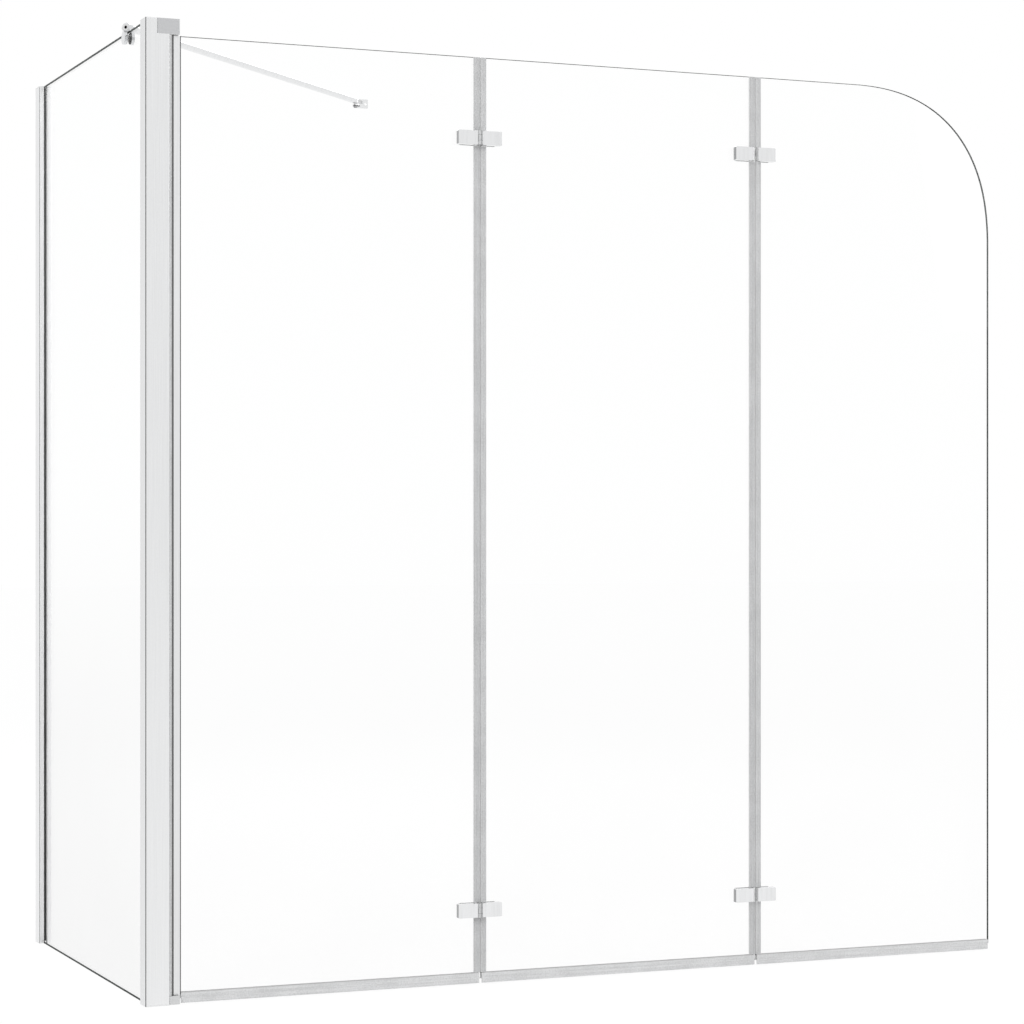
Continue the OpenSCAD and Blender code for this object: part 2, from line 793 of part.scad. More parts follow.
module glass_1() {
    x0 = pivot_x + pane_start;
    color(clear_glass) difference() {
        pane(x0, pane_end_x[0]);
        glass_holes(joint_x[0], -1);
        translate([x0 - cut, main_y - glass_t, pane_lift - cut])
            cube([pivot_x + bottom_seal_start - x0 + cut, 2 * glass_t, corner_notch_h + cut]);
    }
}

module glass_2() {
    color(clear_glass) difference() {
        pane(pane_next_x[0], pane_end_x[1]);
        glass_holes(joint_x[0], 1);
        glass_holes(joint_x[1], -1);
    }
}

// A point of the swept corner, from the upright edge at 0 to the top edge at 90
function sweep_point(a) = [
    free_x - sweep_r + sweep_r * pow(cos(a), 2 / sweep_power),
    pane_top - sweep_r + sweep_r * pow(sin(a), 2 / sweep_power)
];

module glass_3() {
    corner = [for (i = [0:sweep_steps]) sweep_point(90 * i / sweep_steps)];
    outline = concat([[pane_next_x[1], pane_lift], [free_x, pane_lift]], corner,
                     [[pane_next_x[1], pane_top]]);
    color(clear_glass) difference() {
        translate([0, main_y + glass_t / 2, 0]) rotate([90, 0, 0])
            linear_extrude(glass_t) polygon(outline);
        glass_holes(joint_x[1], 1);
    }
}

// Section of a channel that grips a pane, whose edge is at y = 0 and which lies above it
module seal_channel(left_grip, right_grip) {
    half = glass_t / 2 + seal_wall;
    span(-half, -seal_wall, half, 0);
    span(-half, -seal_wall, -glass_t / 2, left_grip);
    span(glass_t / 2, -seal_wall, half, right_grip);
}

// Section of a bottom seal: x is across the glass, y is up from the bath's rim
module bottom_seal_section() {
    half = glass_t / 2 + seal_wall;
    web_z = pane_lift - seal_wall;
    fin = seal_wall / 2;
    grip = seal_lift + bottom_seal_h - pane_lift;
    lip_z = web_z + fin / 2 - (drip_reach - half + fin);
    translate([0, pane_lift]) seal_channel(grip, grip);
    span(-half, seal_lift, -glass_t / 2, pane_lift);
    polygon([[half - fin, web_z + fin / 2], [drip_reach, lip_z],
             [drip_reach, lip_z + fin], [half - fin, web_z + 1.5 * fin]]);
}

module bottom_seal(x0, x1) {
    color(seal_grey) translate([x0, main_y, 0]) rotate([90, 0, 90])
        linear_extrude(x1 - x0) bottom_seal_section();
}

module bottom_seal_1() {
    bottom_seal(pivot_x + bottom_seal_start, joint_x[0] + seal_line - bottom_seal_gap / 2);
}

module bottom_seal_2() {
    bottom_seal(joint_x[0] + seal_line + bottom_seal_gap / 2,
                joint_x[1] + seal_line - bottom_seal_gap / 2);
}

module bottom_seal_3() {
    bottom_seal(joint_x[1] + seal_line + bottom_seal_gap / 2, free_x - bottom_seal_gap / 2);
}

// Draws the channel of an edge seal along a pane's upright edge, cut away at the hinges
module edge_channel(x) {
    clear = leaf_h / 2 + edge_seal_hinge_gap;
    starts = [edge_seal_low, hinge_z[0] + clear, hinge_z[1] + clear];
    ends = [hinge_z[0] - clear, hinge_z[1] - clear, pane_top];
    for (i = [0:2]) translate([x, main_y, starts[i]]) linear_extrude(ends[i] - starts[i])
        children();
}

// Draws the core of an edge seal, which runs on between the hinges' leaves
module edge_core(x) {
    translate([x, main_y, edge_seal_low]) linear_extrude(pane_top - edge_seal_low) children();
}

// Edge seal with a bead on the right edge of a pane, which is at x
module beaded_seal(x) {
    color(seal_grey) {
        edge_channel(x) rotate(90) seal_channel(beaded_grip, beaded_back_grip);
        edge_core(x) {
            span(0, -seal_core_y, seal_wall, seal_core_y);
            translate([bead_reach() - seal_bead_r, 0])
                round_rect(2 * seal_bead_r, seal_bead_w, bead_edge_r);
        }
    }
}

// Plain edge seal on the left edge of a pane, which is at x
module plain_seal(x) {
    color(seal_grey) {
        edge_channel(x) rotate(-90) seal_channel(plain_grip, plain_grip);
        edge_core(x) span(-seal_wall, -seal_core_y, 0, seal_core_y);
    }
}

module edge_seal_1() { beaded_seal(pane_end_x[0]); }
module edge_seal_2_left() { plain_seal(pane_next_x[0]); }
module edge_seal_2_right() { beaded_seal(pane_end_x[1]); }
module edge_seal_3() { plain_seal(pane_next_x[1]); }

// Puts a piece drawn for the left side at a hinge, or its mirror image on the right side
module at_hinge(j, side, level) {
    translate([joint_x[j], main_y, hinge_z[level]]) mirror([side > 0 ? 1 : 0, 0, 0]) children();
}

// A plate of the left side, from its inner face y0 outwards to y1
module hinge_plate(w, y0, y1) {
    translate([-leaf_gap / 2 - w / 2, max(y0, y1), 0]) rotate([90, 0, 0])
        linear_extrude(abs(y1 - y0)) round_rect(w, leaf_h, leaf_corner_r);
}

// The knuckles of the left side, or with side > 0 of the right side, on a pin line at pin_y
module knuckles(side, pin_y, face) {
    edge = middle_knuckle_h / 2;
    spans = side > 0 ? [[-edge, edge]]
        : [[-leaf_h / 2, -edge - knuckle_gap], [edge + knuckle_gap, leaf_h / 2]];
    out = pin_y < 0 ? -1 : 1;
    near = pin_y - out * knuckle_r;
    for (s = spans) translate([0, 0, s[0]]) linear_extrude(s[1] - s[0]) {
        translate([0, pin_y]) circle(knuckle_r);
        span(-leaf_gap / 2 - cut, min(near, face), 0, max(near, face));
    }
}

// Hole for the hinge pin: tight on the left side, running on the right side
module pin_hole(side, pin_y) {
    translate([0, pin_y, -leaf_h])
        cylinder(r = hinge_pin_r + (side > 0 ? running : 0), h = 2 * leaf_h);
}

// Outer leaf. The first hinges carry their knuckles here, because they fold outwards
module hinge_leaf(j, side, level) {
    color([0.83, 0.84, 0.85]) at_hinge(j, side, level) difference() {
        union() {
            hinge_plate(leaf_w, -glass_t / 2 - hinge_gasket_t, -outer_face);
            if (j == 0) knuckles(side, outer_pin_y, -outer_face);
        }
        translate([-hole_x, -hinge_screw_end - thread_tip, 0]) rotate([-90, 0, 0])
            cylinder(r = hinge_screw_r, h = outer_face);
        if (j == 0) pin_hole(side, outer_pin_y);
    }
}

// Inner plates. The second hinges carry their knuckles here, because they fold inwards
module hinge_plates(j, side) {
    color(chrome) for (level = [0, 1]) at_hinge(j, side, level) difference() {
        union() {
            hinge_plate(plate_w, glass_t / 2 + hinge_gasket_t, inner_face);
            if (j == 1) knuckles(side, inner_pin_y, inner_face);
        }
        translate([-hole_x, inner_face, 0]) rotate([-90, 0, 0])
            screw_hole(hinge_screw_r, hinge_head_r, plate_t + cut);
        if (j == 1) pin_hole(side, inner_pin_y);
    }
}

// Clear gaskets: the outer one has a sleeve that lines the hole in the glass
module hinge_gaskets(j, side) {
    half = glass_t / 2;
    color([0.88, 0.90, 0.90]) for (level = [0, 1]) at_hinge(j, side, level) difference() {
        union() {
            hinge_plate(leaf_w, -half, -half - hinge_gasket_t);
            hinge_plate(plate_w, half, half + hinge_gasket_t);
            translate([-hole_x, half - slip, 0]) rotate([90, 0, 0])
                cylinder(r = sleeve_r, h = glass_t - slip + hinge_gasket_t / 2);
        }
        translate([-hole_x, 0, 0]) rotate([90, 0, 0])
            cylinder(r = hinge_screw_r + sleeve_play, h = 4 * glass_t, center = true);
    }
}

module hinge_screws(j, side) {
    color([0.72, 0.72, 0.74]) for (level = [0, 1]) at_hinge(j, side, level)
        translate([-hole_x, inner_face, 0]) rotate([-90, 0, 0])
            screw(hinge_screw_r, hinge_head_r, inner_face + hinge_screw_end);
}

module hinge_pins(j) {
    pin_y = j == 0 ? outer_pin_y : inner_pin_y;
    color([0.65, 0.65, 0.67]) for (z = hinge_z)
        translate([joint_x[j], main_y + pin_y, z]) cylinder(r = hinge_pin_r, h = leaf_h, center = true);
}

wall_profile();
wall_profile_cap();
wall_glazing_gasket();
side_glass();
corner_post();
post_cap();
post_foot();
post_glazing_gasket();
post_seal_strip();
top_pivot_bracket();
bottom_pivot_bracket();
bracket_screws();
pivot_pins();
stabiliser_bar();
bar_end_plug();
bar_fork();
glass_clamp();
clamp_pads();
clamp_grub_screws();
wall_flange();
flange_pin();
pivot_profile();
pivot_bushes();
pivot_gasket();
glass_1();
bottom_seal_1();
edge_seal_1();
hinge_leaf(0, -1, 1);  // hinge_1_upper_leaf_left
hinge_leaf(0, -1, 0);  // hinge_1_lower_leaf_left
hinge_plates(0, -1);  // hinge_1_plates_left
hinge_gaskets(0, -1);  // hinge_1_gaskets_left
hinge_screws(0, -1);  // hinge_1_screws_left
hinge_pins(0);  // hinge_1_pins
hinge_leaf(0, 1, 1);  // hinge_1_upper_leaf_right
hinge_leaf(0, 1, 0);  // hinge_1_lower_leaf_right
hinge_plates(0, 1);  // hinge_1_plates_right
hinge_gaskets(0, 1);  // hinge_1_gaskets_right
hinge_screws(0, 1);  // hinge_1_screws_right
glass_2();
bottom_seal_2();
edge_seal_2_left();
edge_seal_2_right();
hinge_leaf(1, -1, 1);  // hinge_2_upper_leaf_left
hinge_leaf(1, -1, 0);  // hinge_2_lower_leaf_left
hinge_plates(1, -1);  // hinge_2_plates_left
hinge_gaskets(1, -1);  // hinge_2_gaskets_left
hinge_screws(1, -1);  // hinge_2_screws_left
hinge_pins(1);  // hinge_2_pins
hinge_leaf(1, 1, 1);  // hinge_2_upper_leaf_right
hinge_leaf(1, 1, 0);  // hinge_2_lower_leaf_right
hinge_plates(1, 1);  // hinge_2_plates_right
hinge_gaskets(1, 1);  // hinge_2_gaskets_right
hinge_screws(1, 1);  // hinge_2_screws_right
glass_3();
bottom_seal_3();
edge_seal_3();
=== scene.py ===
# %% [markdown]
# A folding shower screen for the corner of a bath. The metal, rubber and glass pieces were
# designed in CAD, at their real size, and packed as one model. This script dresses that model: it
# gives each piece the small rounded edges, the finish and the light that make it look real,
# without changing its size or its place. Everything is in metres, X along the main screen, Y into
# the bath, Z up.

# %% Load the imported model
import json
import math

import bmesh
import bpy
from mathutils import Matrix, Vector

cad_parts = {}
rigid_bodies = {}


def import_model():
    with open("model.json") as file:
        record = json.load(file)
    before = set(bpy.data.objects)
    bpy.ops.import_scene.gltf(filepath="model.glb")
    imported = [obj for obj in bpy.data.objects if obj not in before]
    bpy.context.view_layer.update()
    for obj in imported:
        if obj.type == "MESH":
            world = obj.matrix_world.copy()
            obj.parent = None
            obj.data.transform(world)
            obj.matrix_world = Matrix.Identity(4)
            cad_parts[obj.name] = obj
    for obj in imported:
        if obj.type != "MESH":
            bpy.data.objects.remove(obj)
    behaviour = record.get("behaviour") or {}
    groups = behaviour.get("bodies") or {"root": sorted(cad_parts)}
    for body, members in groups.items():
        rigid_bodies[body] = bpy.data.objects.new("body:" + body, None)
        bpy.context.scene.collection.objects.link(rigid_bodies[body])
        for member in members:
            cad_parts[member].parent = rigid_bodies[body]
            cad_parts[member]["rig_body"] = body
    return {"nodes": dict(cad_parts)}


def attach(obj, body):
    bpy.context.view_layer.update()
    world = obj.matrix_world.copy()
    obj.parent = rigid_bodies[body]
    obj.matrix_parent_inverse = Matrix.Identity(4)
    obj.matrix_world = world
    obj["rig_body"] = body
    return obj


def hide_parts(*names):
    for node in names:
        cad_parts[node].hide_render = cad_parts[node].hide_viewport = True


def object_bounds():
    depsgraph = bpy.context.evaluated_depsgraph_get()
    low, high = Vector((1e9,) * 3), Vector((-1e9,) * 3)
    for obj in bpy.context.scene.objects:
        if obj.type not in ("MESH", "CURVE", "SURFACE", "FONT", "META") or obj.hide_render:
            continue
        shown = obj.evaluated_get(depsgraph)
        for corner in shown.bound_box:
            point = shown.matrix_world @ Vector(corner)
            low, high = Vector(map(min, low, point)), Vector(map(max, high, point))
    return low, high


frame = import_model()
cad_low, cad_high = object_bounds()
MM = 0.001
MERGE = 0.001 * MM  # points nearer than this are one point
STEP = 0.1 * MM  # how wide the border between two colours is
print("CAD box:", [round(v, 4) for v in cad_low], [round(v, 4) for v in cad_high])

# %% [markdown]
# A level camera 67 cm up and to the left of the screen fits the long edges in the photograph: it
# keeps upright edges parallel. The horizon of that fit isn't at the middle of the picture, which a
# small upward lens shift repeats.

# %% Camera
EYE = Vector((-1.04595, -3.8313, 0.6696))
LOOK = Vector((0.38446, 0.92314, 0.0))
SENSOR, LENS, UPWARD_SHIFT = 36.0, 97.47, 0.0209

camera_data = bpy.data.cameras.new("camera")
camera_data.sensor_width = SENSOR
camera_data.lens = LENS
camera_data.shift_y = UPWARD_SHIFT
camera = bpy.data.objects.new("camera", camera_data)
camera.location = EYE
camera.rotation_euler = LOOK.to_track_quat("-Z", "Y").to_euler()
bpy.context.scene.collection.objects.link(camera)
bpy.context.scene.camera = camera
distance = (EYE - (cad_low + cad_high) / 2).length
print("camera stands", round(distance, 2), "m from the middle of the screen")

# %% [markdown]
# Shader maths reads best as plain arithmetic. A Wire stands for one output of a node, and the
# usual operators add Math nodes to the board that it belongs to. A Board holds the nodes of one
# finish and has a single method that adds any node: its type, then its settings, then what goes
# into it.

# %% Wires and boards
class Wire:
    """One output socket. Arithmetic on it adds Math nodes."""

    def __init__(self, board, socket):
        self.board, self.socket = board, socket

    def _math(self, operation, *terms):
        node = self.board.add("ShaderNodeMath", {"operation": operation}, dict(enumerate(terms)))
        return node.out()

    def __add__(self, other):
        return self._math("ADD", self, other)

    def __sub__(self, other):
        return self._math("SUBTRACT", self, other)

    def __rsub__(self, other):
        return self._math("SUBTRACT", other, self)

    def __mul__(self, other):
        return self._math("MULTIPLY", self, other)

    def __abs__(self):
        return self._math("ABSOLUTE", self)

    __radd__ = __add__
    __rmul__ = __mul__

    def clamped(self):
        node = self.board.add("ShaderNodeMath", {"operation": "ADD", "use_clamp": True},
                              {0: self, 1: 0.0})
        return node.out()

    def power(self, exponent):
        return self._math("POWER", self, exponent)

    def ramp(self, low, high, to_low=0.0, to_high=1.0):
        """Runs smoothly from to_low to to_high while this value goes from low to high."""
        node = self.board.add("ShaderNodeMapRange", {"interpolation_type": "SMOOTHSTEP"},
                              {"Value": self, "From Min": low, "From Max": high,
                               "To Min": to_low, "To Max": to_high})
        return node.out()


class Part:
    """One node on a board."""

    def __init__(self, board, node):
        self.board, self.node = board, node

    def out(self, key=0):
        if isinstance(key, int):
            return Wire(self.board, self.node.outputs[key])
        found = [s for s in self.node.outputs if key in (s.identifier, s.name)]
        return Wire(self.board, found[0])


class Board:
    """The node board of one finish."""

    def __init__(self, name, owner=None):
        self.owner = owner or bpy.data.materials.new(name)
        self.owner.use_nodes = True
        self.tree = self.owner.node_tree
        self.tree.nodes.clear()

    def add(self, kind, settings=None, sockets=None):
        node = self.tree.nodes.new(kind)
        for key, value in (settings or {}).items():
            setattr(node, key, value)
        for key, value in (sockets or {}).items():
            socket = node.inputs[key] if isinstance(key, int) else next(
                s for s in node.inputs if key in (s.identifier, s.name) and s.enabled)
            if isinstance(value, Wire):
                self.tree.links.new(value.socket, socket)
            elif socket.type == "RGBA" and len(value) == 3:
                socket.default_value = (*value, 1.0)
            else:
                socket.default_value = value
        return Part(self, node)

    def place(self, scale=(1, 1, 1), turn=(0, 0, 0)):
        """Object coordinates, stretched and turned."""
        where = self.add("ShaderNodeTexCoord").out("Object")
        return self.add("ShaderNodeMapping", {"vector_type": "POINT"},
                        {"Vector": where, "Rotation": turn, "Scale": scale}).out()

    def along(self, axis):
        """The place along one axis, in metres."""
        return self.add("ShaderNodeSeparateXYZ", None, {"Vector": self.place()}).out(axis)

    def normal(self):
        """Which way a face looks, in its piece's own frame, so that it turns with the piece."""
        outwards = self.add("ShaderNodeNewGeometry").out("True Normal")
        return self.add("ShaderNodeVectorTransform",
                        {"vector_type": "NORMAL", "convert_from": "WORLD",
                         "convert_to": "OBJECT"}, {"Vector": outwards}).out()

    def facing(self, way):
        """How well a face looks along a direction: 1 straight, 0 across."""
        return self.add("ShaderNodeVectorMath", {"operation": "DOT_PRODUCT"},
                        {0: self.normal(), 1: way}).out("Value")

    def noise(self, where, scale, detail, roughness):
        return self.add("ShaderNodeTexNoise", {"noise_dimensions": "3D"},
                        {"Vector": where, "Scale": scale, "Detail": detail,
                         "Roughness": roughness}).out(0)

    def mix(self, factor, a, b):
        """A colour between a and b."""
        return self.add("ShaderNodeMix", {"data_type": "RGBA"},
                        {"Factor_Float": factor, "A_Color": a, "B_Color": b}).out("Result_Color")

    def bump(self, height, depth, strength):
        """A normal for a height pattern whose full relief is depth, in metres."""
        return self.add("ShaderNodeBump", None,
                        {"Height": height, "Distance": depth, "Strength": strength}).out()

    def surface(self, sockets):
        """A Principled shader as the finish's surface."""
        shader = self.add("ShaderNodeBsdfPrincipled", None, sockets)
        self.add("ShaderNodeOutputMaterial", None, {"Surface": shader.out()})
        return self.owner


def grey(value):
    """A neutral colour."""
    return (value, value, value)


def scaled(colour, factor):
    """A colour made paler or darker, white at most."""
    return tuple(min(1.0, c * factor) for c in colour)


print("boards are ready")

# %% [markdown]
# The post, the wall profile and the pivot profile are extruded aluminium with a satin anodised
# skin. A die leaves very fine lines along an extrusion, and etching before the bath gives it a
# faint grain. Both are far too fine to model, so two noises make them: one stretched a few
# hundred times along the profile, one round. They move the colour a little, the roughness more,
# and the normal hardly. The post and the wall profile have a shadow groove down their outer
# corner.
#
# Some tones are painted by position because the photograph has them there. Painted shade darkens
# the inside of the grooves and of the wall profile. Painted light makes the front of the post
# paler towards its foot, and the lip behind the side pane paler. Once painted, they stay the same
# under any light.

# %% Satin aluminium
# The colours of painted shade and of painted light.
DEEP, NEAR_WHITE = (0.03, 0.03, 0.031), (0.97, 0.975, 0.98)
SATIN, SATIN_CAP = (0.775, 0.78, 0.785), (0.79, 0.795, 0.80)
SATIN_WALL = (0.83, 0.835, 0.84)
POST_CORNER, PROFILE_CORNER = (-17.149 * MM, -15.149 * MM), (-17.707 * MM, 643.793 * MM)
GROOVE_REACH, GROOVE_FADE = 2.2 * MM, 0.04 * MM
SIDE_PANE_X, CHAMBER_MIDDLE_Y = -8 * MM, 658 * MM
CHAMBER_X, CHAMBER_Y, CHAMBER_FADE = 8.22 * MM, 12.72 * MM, 0.08 * MM
INNER_LIP_X, PALER_TOP, PALER_SHARE = SIDE_PANE_X + 2.4 * MM, 1.1, 0.28


def groove_shade_mask(board, corner, left, right):
    """1 where shade is painted in a corner's groove, so far to the left and right of its middle."""
    x, y = board.along("X") - corner[0], board.along("Y") - corner[1]
    across = (x - y) * math.sqrt(0.5)
    inside = (across.ramp(-left - GROOVE_FADE, -left)
              * (1 - across.ramp(right, right + GROOVE_FADE)))
    return (1 - (abs(x) + abs(y)).ramp(GROOVE_REACH, GROOVE_REACH + STEP)) * inside


def chamber_shade_mask(board):
    """1 on the inner walls of the wall profile, where shade is painted."""
    x, y = board.along("X") - SIDE_PANE_X, board.along("Y") - CHAMBER_MIDDLE_Y
    return ((1 - abs(x).ramp(CHAMBER_X, CHAMBER_X + CHAMBER_FADE))
            * (1 - abs(y).ramp(CHAMBER_Y, CHAMBER_Y + CHAMBER_FADE)))


def satin_aluminium(name, colour, along="Z", rough=0.33, dark=None, pale=None):
    """dark and pale are functions that draw the masks of painted shade and painted light."""
    board = Board(name)
    stretch = {"Z": (1, 1, 0.004), "X": (0.004, 1, 1)}[along]
    lines = board.noise(board.place(stretch), 1800.0, 3.0, 0.6)
    grain = board.noise(board.place(), 1400.0, 2.0, 0.55)
    cloud = board.noise(board.place((1, 1, 0.25)), 9.0, 2.0, 0.5)
    tone = (lines * 0.5 + grain * 0.35 + cloud * 0.15).ramp(0.36, 0.64)
    skin = board.mix(tone, scaled(colour, 0.93), scaled(colour, 1.05))
    if pale:
        skin = board.mix(pale(board), skin, NEAR_WHITE)
    if dark:
        skin = board.mix(dark(board), skin, DEEP)
    normal = board.bump(lines * 0.5 + grain * 0.5, 0.006 * MM, 0.55)
    return board.surface({
        "Base Color": skin, "Metallic": 1.0,
        "Roughness": (lines - 0.5) * 0.2 + grain * 0.06 + rough, "Normal": normal})


# Painted shade in the groove of the post and of its cap.
def post_groove_shade(board):
    return groove_shade_mask(board, POST_CORNER, 1.1 * MM, 0.15 * MM)


def painted_light_foot(board):
    """Painted light that makes the post's front paler towards its foot, as in the photograph."""
    front = board.facing((0, -1, 0)).ramp(0.7, 0.9)
    return front * board.along("Z").ramp(0.0, PALER_TOP, PALER_SHARE, 0.0)


# Painted shade in the groove of the wall profile and on its inner walls.
def wall_shade(board):
    groove = groove_shade_mask(board, PROFILE_CORNER, 0.3 * MM, 0.1 * MM)
    return (groove + chamber_shade_mask(board)).clamped()


def inner_lip_light(board):
    """1 on the lip behind the side pane, painted light, as it is paler in the photograph."""
    return board.along("X").ramp(INNER_LIP_X, INNER_LIP_X + STEP)


finishes = {
    "satin_aluminium": satin_aluminium("satin aluminium", SATIN),
    "satin_aluminium_post": satin_aluminium("satin aluminium post", SATIN, dark=post_groove_shade,
                                            pale=painted_light_foot),
    "satin_aluminium_wall": satin_aluminium("satin aluminium wall profile", SATIN_WALL,
                                            dark=wall_shade, pale=inner_lip_light),
    "satin_aluminium_cap": satin_aluminium("satin aluminium cap", SATIN_CAP, "X", 0.36,
                                           post_groove_shade),
}
print("finishes:", list(finishes))

# %% [markdown]
# The blocks that carry the pivot are grey, and taken to be cast and sprayed. Sprayed metal isn't
# flat under a lens: it has the soft dimples of the dried drops and fine flecks in the colour.
# Both are noises, one in the normal and one in the colour. In the photograph the lower block is
# paler than the upper one, and the underside of the upper one is nearly white. Both are painted
# light: the lower block's grey is a lit copy of the upper one's, and the underside of the upper
# block gets painted light from below.

# %% Sprayed grey
SPRAY_METAL, LIT_UNDERSIDE = 0.55, grey(0.93)


def sprayed_grey(name, colour, pale_below=False):
    """pale_below paints light on the faces that look down, nearly white."""
    board = Board(name)
    where = board.place()
    dimples = board.noise(where, 520.0, 3.0, 0.55)
    flecks = board.noise(where, 2600.0, 1.0, 0.5).ramp(0.6, 0.8)
    skin = board.mix(flecks * 0.5 + dimples * 0.3, scaled(colour, 0.96), scaled(colour, 1.08))
    metal = SPRAY_METAL
    if pale_below:
        below = board.facing((0, 0, -1)).ramp(0.7, 0.9)
        skin = board.mix(below, skin, LIT_UNDERSIDE)
        metal = SPRAY_METAL * (1 - below)
    return board.surface({
        "Base Color": skin, "Metallic": metal, "Roughness": dimples * 0.16 + 0.30,
        "Normal": board.bump(dimples, 0.02 * MM, 0.35), "Coat Weight": 0.25, "Coat Roughness": 0.2})


finishes["grey_bracket"] = sprayed_grey("sprayed grey", (0.545, 0.55, 0.56), True)
# The lower block's grey is a lit copy of the upper one's: painted light.
finishes["grey_bracket_lit_copy"] = sprayed_grey("sprayed grey, lower block", (0.67, 0.675, 0.68))
print("finishes:", list(finishes))

# %% [markdown]
# The hinges, the bar, the clamp and the flange are cast brass or zinc, polished and chromed. A
# mirror shows its surroundings, so its own colour is nearly constant. What makes it real is what
# handling leaves: wipe marks that roughen it here and there, and a casting that isn't perfectly
# flat.
#
# In the photograph the ends of the hinge leaves are darker than their fronts, and the bar's end
# is pale, so these ends get a darker and a paler colour, the pale one not metallic, as do the
# faces of the clamp that look out along the bar. The inner ends of the right leaves of the second
# pair lie in the shade of the gap and get painted light. No barrels show at the first hinges, so
# the ones that the fold needs get sleeves in the grey of the seals, with a shade painted on their
# fronts. Painted shadow darkens the flange's tongue. The normal finds the ends, the position the
# barrels and the flange's root.

# %% Chrome
BARREL_REACH = 3.6 * MM
SLEEVE, SLEEVE_SHADE = (0.68, 0.685, 0.69), (0.39, 0.395, 0.40)
# The dark ends, painted light on the inner ends, the pale ends, and painted shadow on the tongue.
DARK_END, LIT_INNER_END = (0.34, 0.345, 0.35), (0.78, 0.785, 0.79)
PALE_END, ROOT_SHADOW = (0.85, 0.855, 0.86), (0.60, 0.60, 0.605)
FIRST_FOLD_X, PLATE_Y = 493 * MM, 669.5 * MM
BAR_OUT = (-math.sqrt(0.5), -math.sqrt(0.5), 0)


def chrome(name, colour=(0.785, 0.79, 0.797), rough=0.07, turn=0.0, cut=None, cut_metal=1.0,
           cut_way=(-1, 0, 0), barrel_x=None, dark=None):
    """cut is the colour of faces that look along cut_way, and cut_metal how metallic they are.
    barrel_x is the line of a hinge pin with sleeved barrels. dark draws the mask of painted
    shadow."""
    board = Board(name)
    wipes = board.noise(board.place((1, 1, 0.12), (0, 0, turn)), 160.0, 3.0, 0.6)
    spots = board.noise(board.place(), 900.0, 2.0, 0.5).ramp(0.62, 0.74)
    waves = board.noise(board.place(), 45.0, 1.0, 0.5)
    skin = board.mix(wipes.ramp(0.35, 0.7), colour, scaled(colour, 0.955))
    metal, sleeve = 1.0, 0.0
    if cut:
        end = board.facing(cut_way).ramp(0.75, 0.92)
        skin = board.mix(end, skin, cut)
        metal = 1 - end * (1 - cut_metal)
    if barrel_x is not None:
        sleeve = 1 - abs(board.along("X") - barrel_x).ramp(BARREL_REACH - STEP, BARREL_REACH)
        side = board.facing((1, 0, 0))
        shade = side.ramp(-0.45, -0.25) - side.ramp(0.35, 0.6) * 0.6
        skin = board.mix(sleeve, skin, board.mix(shade, SLEEVE, SLEEVE_SHADE))
        metal = metal * (1 - sleeve)
    if dark:
        skin = board.mix(dark(board), skin, ROOT_SHADOW)
    return board.surface({
        "Base Color": skin, "Metallic": metal,
        "Roughness": wipes.ramp(0.45, 0.75) * 0.10 + spots * 0.05 + sleeve * 0.35 + rough,
        "Normal": board.bump(waves * 0.8 + spots * 0.2, 0.03 * MM, 0.3)})


def flange_root_shadow(board):
    """1 on the flange's tongue, which gets painted shadow, 0 on its plate."""
    return 1 - board.along("Y").ramp(PLATE_Y - 3 * STEP, PLATE_Y - STEP)


finishes["chrome"] = chrome("polished chrome")
finishes["chrome_leaf"] = chrome("polished chrome leaf", cut=DARK_END)
finishes["chrome_leaf_lit_end"] = chrome("polished chrome leaf, inner end", cut=LIT_INNER_END,
                                      cut_metal=0.2)
finishes["chrome_knuckled"] = chrome("polished chrome leaf with barrels", cut=DARK_END,
                                     barrel_x=FIRST_FOLD_X)
finishes["chrome_flange"] = chrome("dull chrome", (0.79, 0.795, 0.80), 0.14, dark=flange_root_shadow)
finishes["chrome_clamp"] = chrome("dull chrome clamp", (0.70, 0.71, 0.72), 0.12, cut=PALE_END,
                                  cut_metal=0.0, cut_way=BAR_OUT)
finishes["chrome_bar"] = chrome("polished chrome tube", turn=-math.radians(45), cut=PALE_END,
                                cut_metal=0.0, cut_way=BAR_OUT)
print("finishes:", list(finishes))

# %% [markdown]
# Pins and screws are turned from steel. The lathe leaves fine rings across their length, and oil
# stains them here and there. A dark spot under the bar's wall end is read as painted shade below
# the head of the flange's pin, with painted light on its top.

# %% Turned steel
LIT_TOP, PIN_LIT_TOP_Z = grey(0.84), 1403.4 * MM


def turned_steel(name, colour, rings=2600.0, lit_top_z=None):
    """Steel with fine rings across Z. Above the given height it gets painted light."""
    board = Board(name)
    turning = board.noise(board.place((0.02, 0.02, 1)), rings, 2.0, 0.6)
    stain = board.noise(board.place(), 300.0, 3.0, 0.6)
    skin = board.mix(stain.ramp(0.3, 0.75), colour, scaled(colour, 0.86))
    if lit_top_z is not None:
        skin = board.mix(board.along("Z").ramp(lit_top_z, lit_top_z + STEP), skin, LIT_TOP)
    return board.surface({
        "Base Color": skin, "Metallic": 1.0, "Roughness": turning * 0.14 + stain * 0.08 + 0.16,
        "Normal": board.bump(turning, 0.01 * MM, 0.4)})


finishes["steel"] = turned_steel("turned steel", (0.66, 0.66, 0.665))
finishes["dark_steel"] = turned_steel("blackened steel", (0.14, 0.14, 0.15), 1800.0)
# The flange pin's head: painted shade below, painted light on its top.
finishes["pin_head"] = turned_steel("steel, black below", (0.12, 0.12, 0.125), 1800.0,
                                    PIN_LIT_TOP_Z)
print("finishes:", list(finishes))

